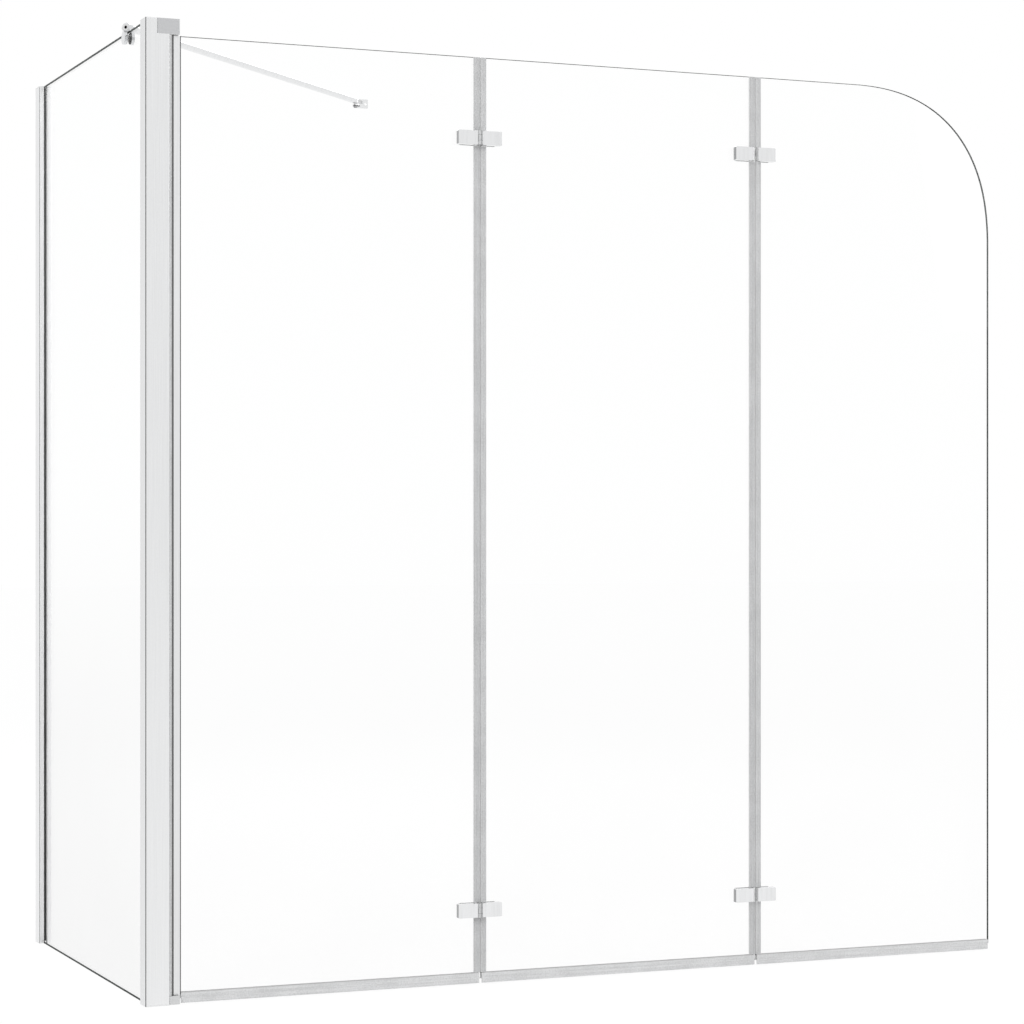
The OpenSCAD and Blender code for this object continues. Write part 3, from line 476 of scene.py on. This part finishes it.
# %% [markdown]
# The seals are soft grey vinyl. It is extruded, so it has long faint streaks, and it is filled
# with chalk, so it looks cloudy and slightly mottled. Light goes a short way into it, which a
# little subsurface scattering shows on the thin lips. The two seals with a bead get a grey that
# is a shade darker. Painted light brightens what is pale in the photograph though it lies in
# shade: the faces that look at the neighbouring pane, the bare core beside the hinges, and the
# gasket in the wall profile, a lit copy of the grey. Painted shade darkens the front edge of the
# post's strip, and a painted shadow line runs along the top of the bottom seals.

# %% Soft grey vinyl
# Painted shade on the strip's edge, a painted shadow line, and painted light on core and flanks.
LIP_SHADE, RIM_SHADOW, LIT_CORE, LIT_FLANKS = grey(0.15), grey(0.58), grey(0.92), grey(0.93)
CORE_HALF, CORE_FADE, CORE_DROP = 11.0 * MM, 0.3 * MM, 0.7 * MM
HINGE_HEIGHTS = (110 * MM, 1257 * MM)
STRIP_END_X, SEAL_RIM_Z = 20.65 * MM, 15.6 * MM


def grey_vinyl(name, colour, along="Z", lip_x=None, rim_z=None, hinge_z=(), flanks=None):
    """lip_x is where painted shade begins. rim_z is where a painted shadow line begins. At the
    heights hinge_z the core is bare and gets painted light. flanks is the colour of painted light
    on the faces that look at the neighbouring pane."""
    board = Board(name)
    stretch = {"Z": (1, 1, 0.01), "X": (0.01, 1, 1)}[along]
    streaks = board.noise(board.place(stretch), 900.0, 2.0, 0.6)
    mottle = board.noise(board.place(), 420.0, 3.0, 0.62)
    cloud = board.noise(board.place(), 30.0, 2.0, 0.5)
    tone = (streaks * 0.35 + mottle * 0.45 + cloud * 0.2).ramp(0.38, 0.62)
    skin = board.mix(tone, scaled(colour, 0.86), scaled(colour, 1.10))
    if flanks:
        skin = board.mix(abs(board.facing((1, 0, 0))).ramp(0.7, 0.9), skin, flanks)
    if lip_x is not None:
        skin = board.mix(board.along("X").ramp(lip_x, lip_x + STEP), skin, LIP_SHADE)
    if rim_z is not None:
        skin = board.mix(board.along("Z").ramp(rim_z, rim_z + STEP), skin, RIM_SHADOW)
    for z in hinge_z:
        height = abs(board.along("Z") - (z - CORE_DROP))
        bare = 1 - height.ramp(CORE_HALF, CORE_HALF + CORE_FADE)
        skin = board.mix(bare, skin, LIT_CORE)
    return board.surface({
        "Base Color": skin, "Roughness": mottle * 0.22 + 0.34,
        "Normal": board.bump(streaks * 0.5 + mottle * 0.5, 0.03 * MM, 0.4),
        "Subsurface Weight": 0.15, "Subsurface Radius": (0.002, 0.002, 0.002),
        "Subsurface Scale": 1.0, "Specular IOR Level": 0.45})


finishes["grey_vinyl"] = grey_vinyl("soft grey vinyl", (0.60, 0.605, 0.61),
                                    hinge_z=HINGE_HEIGHTS, flanks=LIT_FLANKS)
finishes["grey_vinyl_bead"] = grey_vinyl("soft grey vinyl with a bead", (0.565, 0.57, 0.575),
                                         hinge_z=HINGE_HEIGHTS, flanks=LIT_FLANKS)
finishes["grey_vinyl_flat"] = grey_vinyl("soft grey vinyl, bottom seal", (0.74, 0.745, 0.75),
                                         "X", rim_z=SEAL_RIM_Z)
finishes["grey_vinyl_strip"] = grey_vinyl("grey vinyl with a dark lip", (0.62, 0.625, 0.63),
                                          lip_x=STRIP_END_X)
# The gasket in the wall profile: a lit copy of the grey, painted light.
finishes["lit_vinyl"] = grey_vinyl("pale vinyl, wall profile", grey(0.90))
print("finishes:", list(finishes))

# %% [markdown]
# Rubber, nylon and moulded plastic hide inside the joints and channels. Black rubber has a matt
# grain and a dusting of pale bloom. Nylon is milky.

# %% Rubber and plastics
def moulded(name, colour, rough, grain_scale=900.0, bloom=0.12, through=0.0):
    """bloom is how pale the dust makes it, through how far light goes into it."""
    board = Board(name)
    where = board.place()
    grain = board.noise(where, grain_scale, 3.0, 0.6)
    dust = board.noise(where, 120.0, 4.0, 0.65).ramp(0.48, 0.75)
    skin = board.mix(dust * bloom, colour, tuple(min(1.0, c + 0.25) for c in colour))
    return board.surface({
        "Base Color": skin, "Roughness": grain * 0.16 + dust * 0.08 + rough,
        "Normal": board.bump(grain, 0.02 * MM, 0.4),
        "Subsurface Weight": through, "Subsurface Radius": (0.003, 0.003, 0.003),
        "Subsurface Scale": 1.0})


finishes["black_rubber"] = moulded("black rubber", (0.022, 0.022, 0.024), 0.52)
finishes["grey_rubber"] = moulded("dark grey rubber", (0.055, 0.056, 0.06), 0.5)
finishes["lip_rubber"] = moulded("grey rubber of the pivot profile", (0.075, 0.075, 0.078), 0.5)
finishes["white_nylon"] = moulded("milky nylon", (0.80, 0.79, 0.75), 0.34, 700.0, 0.1, 0.4)
print("finishes:", list(finishes))

# %% [markdown]
# Clean glass shows almost nothing but its edges. Light that enters a pane runs along inside it
# and comes out of the edges dark and a little green. So this finish has two parts. On the large
# faces the shader is a mirror that is nearly all see-through, and it mirrors more at a flat
# angle, as glass does. In the photograph the panes are a little darker towards the bottom, so the
# mirror's colour is painted darker there. A Fresnel node would see the far face of the pane from
# its inner side and turn it solid, so the usual fifth power of the facing angle is used. On the
# narrow faces the finish is solid and dark. The normal tells the faces apart.

# %% Clear glass
STRAIGHT_ON, HAZE, MIRROR_TOP = 0.04, 0.008, 0.8
PALE_MIRROR, LIT_EDGE = (0.94, 0.96, 0.955), grey(0.88)


def clear_glass(name, plane, edge_colour, sheen=0.55, low=0.45, seal_z=None):
    """plane is the axis across the pane: X or Y. sheen is how much a face mirrors, low how pale
    its mirror is at the bottom. Below seal_z the edges are painted pale, as beside the seal."""
    board = Board(name)
    parts = board.add("ShaderNodeSeparateXYZ", None, {"Vector": board.normal()})
    edge = 1 - abs(parts.out(plane)).ramp(0.55, 0.9)
    drift = board.noise(board.place(), 6.0, 2.0, 0.5)
    polish = board.noise(board.place(), 260.0, 3.0, 0.6)
    facing = board.add("ShaderNodeLayerWeight", None, {"Blend": 0.5}).out("Facing")
    mirror = facing.power(5.0) * (1 - STRAIGHT_ON) + STRAIGHT_ON
    face = mirror * sheen + drift.ramp(0.3, 0.75) * HAZE
    height = board.along("Z")
    clear = board.mix(height.ramp(0.0, MIRROR_TOP), grey(low), PALE_MIRROR)
    cut = board.mix(polish.ramp(0.4, 0.7) * 0.5, edge_colour, scaled(edge_colour, 1.9))
    if seal_z is not None:
        cut = board.mix(height.ramp(seal_z, seal_z + STEP), LIT_EDGE, cut)
    return board.surface({
        "Base Color": board.mix(edge, clear, cut), "Metallic": 1 - edge,
        "Roughness": edge * 0.16 + 0.015, "Alpha": (edge * 0.93 + face).clamped(),
        "Specular IOR Level": 0.0})


finishes["main_glass"] = clear_glass("clear glass, main screen", "Y", (0.040, 0.046, 0.044),
                                     seal_z=SEAL_RIM_Z)
finishes["side_glass"] = clear_glass("clear glass, side pane", "X", (0.055, 0.062, 0.059),
                                     0.28, 0.28)
print("finishes:", list(finishes))

# %% [markdown]
# Two small plastics: the plug in the bar's end is pale, with painted shade in its hole, which the
# distance from the bar's line finds, and the gaskets between hinge and glass are soft and nearly
# clear.

# %% Plug and clear gaskets
BAR_START = Vector((-8, 117.5, 1407)) * MM
BAR_WAY, PLUG_HOLE = Vector((544, 544, 4)).normalized(), 2.25 * MM
PLUG_HOLE_SHADE, PLUG_GREY, PLUG_PALE = grey(0.012), grey(0.70), grey(0.82)


def end_plug(name, start, way, hole):
    """Pale plastic with painted shade nearer than hole to a line from start along way."""
    board = Board(name)
    where = board.place()
    grain = board.noise(where, 600.0, 3.0, 0.6)
    arm = board.add("ShaderNodeVectorMath", {"operation": "SUBTRACT"},
                    {0: where, 1: start}).out("Vector")
    across = board.add("ShaderNodeVectorMath", {"operation": "CROSS_PRODUCT"},
                       {0: arm, 1: way}).out("Vector")
    reach = board.add("ShaderNodeVectorMath", {"operation": "LENGTH"}, {0: across}).out("Value")
    pale = board.mix(grain, PLUG_GREY, PLUG_PALE)
    skin = board.mix(reach.ramp(hole, hole + STEP), PLUG_HOLE_SHADE, pale)
    return board.surface({"Base Color": skin, "Roughness": grain * 0.16 + 0.34,
                          "Normal": board.bump(grain, 0.02 * MM, 0.3)})


finishes["end_plug"] = end_plug("pale plastic with a black hole", BAR_START, BAR_WAY, PLUG_HOLE)


def clear_plastic(name):
    """Soft gaskets, milky where they are cut and nearly clear between."""
    board = Board(name)
    cloud = board.noise(board.place(), 180.0, 3.0, 0.6)
    skin = board.mix(cloud, (0.62, 0.64, 0.64), (0.76, 0.78, 0.78))
    return board.surface({
        "Base Color": skin, "Roughness": cloud * 0.2 + 0.2, "Alpha": cloud * 0.2 + 0.45,
        "Normal": board.bump(cloud, 0.02 * MM, 0.3)})


finishes["clear_plastic"] = clear_plastic("clear gasket")
print("finishes:", len(finishes))

# %% [markdown]
# No real metal edge is perfectly sharp, and it is the thin line of light along a small rounding
# that makes metal look solid. A CAD node's own mesh must stay as it is, so each piece is a copy
# of it: the loose triangles are merged, flat areas become single faces, and every sharp edge gets
# a rounding of a few tenths of a millimetre. The copy rides on the same body and stands for the
# node.

# %% Pieces with rounded edges
BODY_OF = {name: node["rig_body"] for name, node in frame["nodes"].items()}
FLAT, SHARP, ROUNDING_STEPS = math.radians(0.6), math.radians(35), 2


def clean_mesh(node):
    """The node's mesh as few flat faces, in a new mesh."""
    mesh = frame["nodes"][node].data.copy()
    mesh.name = node + "_finished"
    work = bmesh.new()
    work.from_mesh(mesh)
    bmesh.ops.remove_doubles(work, verts=work.verts, dist=MERGE)
    bmesh.ops.dissolve_limit(work, angle_limit=FLAT, verts=work.verts, edges=work.edges)
    work.to_mesh(mesh)
    work.free()
    mesh.materials.clear()
    return mesh


def settle(piece, body, nodes, finish):
    """Gives a piece its finish and its body, and hides the CAD nodes that it stands for."""
    piece.data.materials.clear()
    piece.data.materials.append(finishes[finish])
    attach(piece, body)
    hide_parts(*nodes)


def smooth_large_faces(piece):
    """Smooth shading that keeps large faces flat up to their rounded edges."""
    piece.data.shade_smooth()
    weigh = piece.modifiers.new("even shading", "WEIGHTED_NORMAL")
    weigh.mode = "FACE_AREA"
    weigh.weight = 100
    weigh.keep_sharp = True


def rounded(node, finish, radius):
    """A copy of a CAD node with its edges rounded by radius, in millimetres."""
    piece = bpy.data.objects.new(node + "_finished", clean_mesh(node))
    bpy.context.scene.collection.objects.link(piece)
    rounding = piece.modifiers.new("rounded edges", "BEVEL")
    rounding.width = radius * MM
    rounding.segments = ROUNDING_STEPS
    rounding.limit_method = "ANGLE"
    rounding.angle_limit = SHARP
    rounding.miter_outer = "MITER_ARC"
    smooth_large_faces(piece)
    settle(piece, BODY_OF[node], [node], finish)


def rounded_all(rows):
    """Each row: the CAD node, the slot, the finish, and the radius of its edges in millimetres."""
    for node, slot, finish, radius in rows:
        rounded(node, finish, radius)
    print(len(rows), "pieces:", ", ".join(row[0] for row in rows))


# %% [markdown]
# First the frame: the post with its cap and foot, the wall profile, and the pivot profile with
# the blocks that carry it. Aluminium profiles keep crisp edges, so 0.25 mm is enough. The cast
# blocks are softer.

# %% Profiles and blocks
rounded_all([
    ("corner_post", "satin_aluminium", "satin_aluminium_post", 0.25),
    ("post_cap", "satin_aluminium", "satin_aluminium_cap", 0.3),
    ("post_foot", "satin_aluminium", "satin_aluminium_cap", 0.3),
    ("wall_profile", "satin_aluminium", "satin_aluminium_wall", 0.25),
    ("wall_profile_cap", "satin_aluminium", "satin_aluminium_cap", 0.3),
    ("pivot_profile", "satin_aluminium", "satin_aluminium", 0.25),
    ("top_pivot_bracket", "grey_bracket", "grey_bracket", 0.5),
    ("bottom_pivot_bracket", "grey_bracket", "grey_bracket_lit_copy", 0.5),
])

# %% [markdown]
# The panes are toughened glass. Their edges are ground flat and the corners taken off by a small
# arris, which two bevel steps of a third of a millimetre show. The swept corner of the last pane
# and the holes for the hinges come from the CAD.

# %% Glass
rounded_all([
    ("glass_1", "clear_glass", "main_glass", 0.35),
    ("glass_2", "clear_glass", "main_glass", 0.35),
    ("glass_3", "clear_glass", "main_glass", 0.35),
    ("side_glass", "clear_glass", "side_glass", 0.35),
])

# %% [markdown]
# The seals. The upright ones lose their channel where the hinges sit, and only their core runs
# on. Those on the right edges of the panes have a bead that meets their neighbour. The bottom
# ones have a lip that leads drips back into the bath. Rubber and vinyl hold the glass in the
# metal channels.

# %% Seals and rubber
rounded_all([
    ("edge_seal_1", "grey_vinyl", "grey_vinyl_bead", 0.2),
    ("edge_seal_2_left", "grey_vinyl", "grey_vinyl", 0.2),
    ("edge_seal_2_right", "grey_vinyl", "grey_vinyl_bead", 0.2),
    ("edge_seal_3", "grey_vinyl", "grey_vinyl", 0.2),
    ("bottom_seal_1", "grey_vinyl", "grey_vinyl_flat", 0.15),
    ("bottom_seal_2", "grey_vinyl", "grey_vinyl_flat", 0.15),
    ("bottom_seal_3", "grey_vinyl", "grey_vinyl_flat", 0.15),
    ("post_seal_strip", "grey_vinyl", "grey_vinyl_strip", 0.15),
    ("post_glazing_gasket", "black_rubber", "grey_rubber", 0.15),
    ("wall_glazing_gasket", "grey_vinyl", "lit_vinyl", 0.15),
    ("pivot_gasket", "black_rubber", "lip_rubber", 0.12),
])

# %% [markdown]
# The hinges clamp the glass between an outer leaf, which shows, and a smaller inner plate. Chrome
# is polished before it is plated, so its edges are rounder than those of the profiles.

# %% Hinges
HINGE_SIDES = [("hinge_1", "left"), ("hinge_1", "right"), ("hinge_2", "left"), ("hinge_2", "right")]
LEAF_FINISHES = ["chrome_knuckled", "chrome_knuckled", "chrome_leaf", "chrome_leaf_lit_end"]
for (hinge, side), leaf_finish in zip(HINGE_SIDES, LEAF_FINISHES):
    rounded_all([
        (f"{hinge}_upper_leaf_{side}", "chrome", leaf_finish, 0.6),
        (f"{hinge}_lower_leaf_{side}", "chrome", leaf_finish, 0.6),
        (f"{hinge}_plates_{side}", "chrome", "chrome", 0.5),
        (f"{hinge}_gaskets_{side}", "clear_plastic", "clear_plastic", 0.1),
    ])
rounded_all([
    ("hinge_1_pins", "steel", "steel", 0.2),
    ("hinge_2_pins", "steel", "steel", 0.2),
    ("pivot_pins", "steel", "steel", 0.2),
    ("pivot_bushes", "white_nylon", "white_nylon", 0.12),
])

# %% [markdown]
# The stabiliser bar: a chromed tube from a clamp on the side pane to a flange on the wall, closed
# by a plug at its outer end and by a fork at the other. A pin holds the fork, and its head gets
# painted shade below and painted light on top.

# %% Stabiliser bar
rounded_all([
    ("stabiliser_bar", "chrome", "chrome_bar", 0.3),
    ("bar_fork", "chrome", "chrome", 0.3),
    ("wall_flange", "chrome", "chrome_flange", 0.4),
    ("glass_clamp", "chrome", "chrome_clamp", 0.4),
    ("flange_pin", "steel", "pin_head", 0.2),
    ("bar_end_plug", "black_plastic", "end_plug", 0.15),
    ("clamp_pads", "black_rubber", "black_rubber", 0.1),
])

# %% [markdown]
# The screws are what repeats: countersunk ones in the brackets and in the inner plates of the
# hinges, and headless ones in the clamp. One screw of each kind is made as a mesh: a lathe
# profile with a six sided socket. A node tree then sets it at points, each turned by a random
# amount about its own axis, because no fitter lines sockets up. The direction of a screw is an
# attribute of its point.

# %% One screw
RIM, POINT_SLOPE = 0.12 * MM, 0.35


def screw_mesh(name, head_radius, radius, length, socket_radius, socket_depth, sides=32):
    """A screw along -Z whose head lies at the origin. A head as wide as its thread makes a grub
    screw. The shank's end has a chamfer, the socket a drilled point."""
    drop, chamfer = head_radius - radius, 3 * RIM
    work = bmesh.new()
    profile = [(head_radius - RIM, 0.0), (head_radius, -RIM)]
    if drop > 0:
        profile += [(radius, -drop - RIM)]
    profile += [(radius, -length + chamfer), (radius - chamfer, -length)]
    rings = []
    for r, z in profile:
        rings.append([work.verts.new((r * math.cos(2 * math.pi * i / sides),
                                      r * math.sin(2 * math.pi * i / sides), z))
                      for i in range(sides)])
    for upper, lower in zip(rings, rings[1:]):
        for i in range(sides):
            j = (i + 1) % sides
            work.faces.new((upper[i], lower[i], lower[j], upper[j]))
    work.faces.new(list(reversed(rings[-1])))

    def hexagon(r, z):
        corners = [math.pi * k / 3 for k in range(6)]
        return [work.verts.new((r * math.cos(a), r * math.sin(a), z)) for a in corners]

    lip, mouth = hexagon(socket_radius + RIM, 0.0), hexagon(socket_radius, -RIM)
    floor = hexagon(socket_radius, -socket_depth)
    point = work.verts.new((0, 0, -socket_depth - socket_radius * POINT_SLOPE))
    for upper, lower in ((lip, mouth), (mouth, floor)):
        for k in range(6):
            n = (k + 1) % 6
            work.faces.new((upper[k], upper[n], lower[n], lower[k]))
    for k in range(6):
        work.faces.new((floor[k], floor[(k + 1) % 6], point))
    sixth = sides / 6
    for k in range(6):
        arc = [rings[0][i % sides] for i in range(round(k * sixth), round((k + 1) * sixth) + 1)]
        work.faces.new([lip[(k + 1) % 6], lip[k]] + arc)
    bmesh.ops.recalc_face_normals(work, faces=work.faces)
    mesh = bpy.data.meshes.new(name)
    work.to_mesh(mesh)
    work.free()
    screw = bpy.data.objects.new(name, mesh)
    print(name, len(mesh.polygons), "faces")
    return screw


# %% [markdown]
# The tree: Instance on Points sets the screw at each point, Align Rotation to Vector points it, a
# seeded random angle turns it, and Realize Instances makes it plain mesh again.

# %% The tree that sets screws
def screw_tree():
    tree = bpy.data.node_groups.new("screws at points", "GeometryNodeTree")
    face = tree.interface
    face.new_socket(name="Points", in_out="INPUT", socket_type="NodeSocketGeometry")
    inputs = {}
    for name, kind in (("Screw", "NodeSocketObject"), ("Finish", "NodeSocketMaterial"),
                       ("Seed", "NodeSocketInt")):
        inputs[name] = face.new_socket(name=name, in_out="INPUT", socket_type=kind).identifier
    face.new_socket(name="Geometry", in_out="OUTPUT", socket_type="NodeSocketGeometry")

    def node(kind, **settings):
        made = tree.nodes.new(kind)
        for key, value in settings.items():
            setattr(made, key, value)
        return made

    def link(source, target):
        tree.links.new(source, target)

    start, end = node("NodeGroupInput"), node("NodeGroupOutput")
    info = node("GeometryNodeObjectInfo")
    way = node("GeometryNodeInputNamedAttribute", data_type="FLOAT_VECTOR")
    way.inputs["Name"].default_value = "way"
    aim = node("FunctionNodeAlignRotationToVector", axis="Z")
    turn = node("FunctionNodeRandomValue", data_type="FLOAT")
    turn.inputs[3].default_value = 2 * math.pi / 6
    about = node("FunctionNodeAxisAngleToRotation")
    about.inputs["Axis"].default_value = (0, 0, 1)
    rotate = node("FunctionNodeRotateRotation", rotation_space="LOCAL")
    place = node("GeometryNodeInstanceOnPoints")
    plain = node("GeometryNodeRealizeInstances")
    finish = node("GeometryNodeSetMaterial")
    link(start.outputs["Screw"], info.inputs["Object"])
    link(start.outputs["Seed"], turn.inputs["Seed"])
    link(way.outputs["Attribute"], aim.inputs["Vector"])
    link(turn.outputs[1], about.inputs["Angle"])
    link(aim.outputs["Rotation"], rotate.inputs["Rotation"])
    link(about.outputs["Rotation"], rotate.inputs["Rotate By"])
    link(start.outputs["Points"], place.inputs["Points"])
    link(info.outputs["Geometry"], place.inputs["Instance"])
    link(rotate.outputs["Rotation"], place.inputs["Rotation"])
    link(place.outputs["Instances"], plain.inputs["Geometry"])
    link(plain.outputs["Geometry"], finish.inputs["Geometry"])
    link(start.outputs["Finish"], finish.inputs["Material"])
    link(finish.outputs["Geometry"], end.inputs["Geometry"])
    return tree, inputs


SCREW_TREE, SCREW_INPUTS = screw_tree()
print("tree:", SCREW_TREE.name, "with inputs", list(SCREW_INPUTS))


# %% Setting screws
def screws(node, screw, points, seed, finish="steel"):
    """Screws at (place, way) points, as one mesh that stands for a CAD node. way is where a head
    looks."""
    mesh = bpy.data.meshes.new(node + "_points")
    mesh.from_pydata([place for place, _ in points], [], [])
    ways = mesh.attributes.new("way", "FLOAT_VECTOR", "POINT")
    ways.data.foreach_set("vector", [v for _, way in points for v in way])
    holder = bpy.data.objects.new(node + "_points", mesh)
    bpy.context.scene.collection.objects.link(holder)
    modifier = holder.modifiers.new("screws", "NODES")
    modifier.node_group = SCREW_TREE
    modifier[SCREW_INPUTS["Screw"]] = screw
    modifier[SCREW_INPUTS["Finish"]] = finishes[finish]
    modifier[SCREW_INPUTS["Seed"]] = seed
    graph = bpy.context.evaluated_depsgraph_get()
    result = bpy.data.meshes.new_from_object(holder.evaluated_get(graph))
    bpy.data.objects.remove(holder)
    result.name = node + "_finished"
    piece = bpy.data.objects.new(node + "_finished", result)
    bpy.context.scene.collection.objects.link(piece)
    result.shade_smooth()
    result.set_sharp_from_angle(angle=SHARP)
    settle(piece, BODY_OF[node], [node], finish)
    print(node, len(points), "screws")


# %% [markdown]
# Two screws hold the top block on the post and one the bottom block. Eight hold the hinges, one
# in each inner plate. Two grub screws sit in the clamp: one presses on the glass, one on the bar.
# Their places are those of the holes in the CAD.

# %% Screws of the brackets, hinges and clamp
countersunk = screw_mesh("countersunk screw M4", head_radius=3.75 * MM, radius=2.0 * MM,
                         length=26 * MM, socket_radius=1.35 * MM, socket_depth=1.3 * MM)
hinge_screw = screw_mesh("countersunk screw M5", head_radius=4.55 * MM, radius=2.5 * MM,
                         length=15.8 * MM, socket_radius=1.7 * MM, socket_depth=1.5 * MM)
grub_screw = screw_mesh("grub screw M4", head_radius=1.98 * MM, radius=1.98 * MM,
                        length=3.2 * MM, socket_radius=1.05 * MM, socket_depth=1.1 * MM, sides=24)
GRUB_RADIUS = 2.0 * MM
OFF_BAR = (-math.sqrt(0.5), math.sqrt(0.5), 0)
UP, OUT, BATH = (0, 0, 1), (1, 0, 0), (0, 1, 0)


def middles(node):
    """The middle of each separate solid of a node, with its lowest and highest corner."""
    work = bmesh.new()
    work.from_mesh(frame["nodes"][node].data)
    bmesh.ops.remove_doubles(work, verts=work.verts, dist=MERGE)
    left, found = set(work.verts), []
    while left:
        island, edge = set(), [left.pop()]
        while edge:
            vert = edge.pop()
            island.add(vert)
            for link in vert.link_edges:
                other = link.other_vert(vert)
                if other in left:
                    left.discard(other)
                    edge.append(other)
        low = Vector([min(v.co[i] for v in island) for i in range(3)])
        high = Vector([max(v.co[i] for v in island) for i in range(3)])
        found.append(((low + high) / 2, low, high))
    work.free()
    return sorted(found, key=lambda f: (round(f[0].z, 4), round(f[0].y, 4), round(f[0].x, 4)))


bracket_points = []
for middle, low, high in middles("bracket_screws"):
    if high.x - low.x > high.z - low.z:
        bracket_points.append(((high.x, middle.y, middle.z), OUT))
    else:
        bracket_points.append(((middle.x, middle.y, high.z), UP))
screws("bracket_screws", countersunk, bracket_points, seed=3)
for seed, (hinge, side) in enumerate(HINGE_SIDES):
    node = f"{hinge}_screws_{side}"
    screws(node, hinge_screw, [((middle.x, high.y, middle.z), BATH)
                               for middle, low, high in middles(node)], seed=seed)
(pad_middle, _, pad_high), (bar_middle, bar_low, bar_high) = middles("clamp_grub_screws")
half_length = (bar_high.x - bar_low.x) / 2 * math.sqrt(2) - GRUB_RADIUS
screws("clamp_grub_screws", grub_screw, [
    ((pad_high.x, pad_middle.y, pad_middle.z), OUT),
    (bar_middle + Vector(OFF_BAR) * half_length, OFF_BAR),
], seed=9, finish="dark_steel")

# %% [markdown]
# The studio. The floor is large, pale and plain. A camera ray sees it mostly as white, so that
# the picture has the white ground of the photograph, and partly as it is lit, so that it keeps
# the screen's soft shadow. Mirrors and glass get the same white. Every other ray sees a plain
# pale floor. It lies a fifth of a millimetre low, so that the lowest faces of the screen don't
# fall together with it and stay visible through the glass.

# %% Floor
PALE_FLOOR, WHITE_SHARE, WHITE, MIRRORED_MORE = grey(0.80), 0.85, 1.06, 0.03


def floor_finish():
    board = Board("pale floor")
    path = board.add("ShaderNodeLightPath")
    mirrored = path.out("Is Glossy Ray")
    seen = (path.out("Is Camera Ray") + mirrored + path.out("Is Transmission Ray")).clamped()
    lit = board.add("ShaderNodeBsdfDiffuse", None, {"Color": PALE_FLOOR}).out()
    white = board.add("ShaderNodeEmission", None, {
        "Color": grey(1.0), "Strength": mirrored * MIRRORED_MORE + WHITE}).out()
    share = board.add("ShaderNodeMixShader", None, {0: seen * WHITE_SHARE, 1: lit, 2: white}).out()
    board.add("ShaderNodeOutputMaterial", None, {"Surface": share})
    return board.owner


FLOOR, FLOOR_Z = 30.0, -0.2 * MM
FLOOR_CORNERS = ((-FLOOR, -FLOOR), (FLOOR, -FLOOR), (FLOOR, FLOOR), (-FLOOR, FLOOR))
floor_mesh = bpy.data.meshes.new("floor")
floor_mesh.from_pydata([(x, y, FLOOR_Z) for x, y in FLOOR_CORNERS], [], [(0, 1, 2, 3)])
floor = bpy.data.objects.new("floor", floor_mesh)
floor.data.materials.append(floor_finish())
bpy.context.scene.collection.objects.link(floor)
print("floor", 2 * FLOOR, "m square")

# %% [markdown]
# The world is the soft light of a white room. Seen straight on or through glass it is white. In a
# mirror it has a darker side, to the left of the screen, as a photographer's black card would
# make, because chrome in an all white room looks like plaster, and a brighter one behind it,
# which the left faces catch. Everything else gets an even pale light.

# %% World
CARD_WAY, CARD = Vector((-0.95, -0.31, 0.0)).normalized(), grey(0.30)
GLOW_WAY, GLOW = Vector((-0.385, 0.923, 0.0)).normalized(), grey(1.02)
EVEN = grey(0.78)


def room():
    world = bpy.data.worlds.new("white room")
    bpy.context.scene.world = world
    board = Board("white room", world)
    path = board.add("ShaderNodeLightPath")
    way = board.add("ShaderNodeTexCoord").out("Generated")

    def towards(side):
        return board.add("ShaderNodeVectorMath", {"operation": "DOT_PRODUCT"},
                         {0: way, 1: side}).out("Value")

    card, glow = towards(CARD_WAY).ramp(0.72, 0.95), towards(GLOW_WAY).ramp(0.80, 0.97)
    mirror = board.mix(glow, board.mix(card, grey(1.0), CARD), GLOW)
    even = board.mix(path.out("Is Glossy Ray"), EVEN, mirror)
    seen = (path.out("Is Camera Ray") + path.out("Is Transmission Ray")).clamped()
    colour = board.mix(seen, even, grey(1.0))
    light = board.add("ShaderNodeBackground", None, {"Color": colour, "Strength": 1.0}).out()
    board.add("ShaderNodeOutputWorld", None, {"Surface": light})
    return world


room()
print("world:", bpy.context.scene.world.name)

# %% [markdown]
# Three large soft lamps give the even light a direction: a broad one high on the left in front, a
# weaker one from the right, and a narrow one behind that draws a line along the tops.

# %% Lamps
AIM = Vector((0.55, 0.2, 0.7))


def lamp(name, place, size, watts):
    data = bpy.data.lights.new(name, "AREA")
    data.shape = "RECTANGLE"
    data.size, data.size_y = size
    data.energy = watts
    thing = bpy.data.objects.new(name, data)
    thing.location = place
    thing.rotation_euler = (AIM - Vector(place)).to_track_quat("-Z", "Y").to_euler()
    bpy.context.scene.collection.objects.link(thing)
    print(name, "at", place, watts, "W")


lamp("broad lamp", (-1.6, -3.2, 3.4), (2.6, 1.8), 36)
lamp("side lamp", (3.6, -2.2, 2.2), (2.0, 2.0), 22)
lamp("back lamp", (1.2, 3.4, 3.0), (2.4, 0.8), 20)

# %% [markdown]
# The view is plain: Standard keeps colours as they are written.

# %% View
bpy.context.scene.view_settings.view_transform = "Standard"
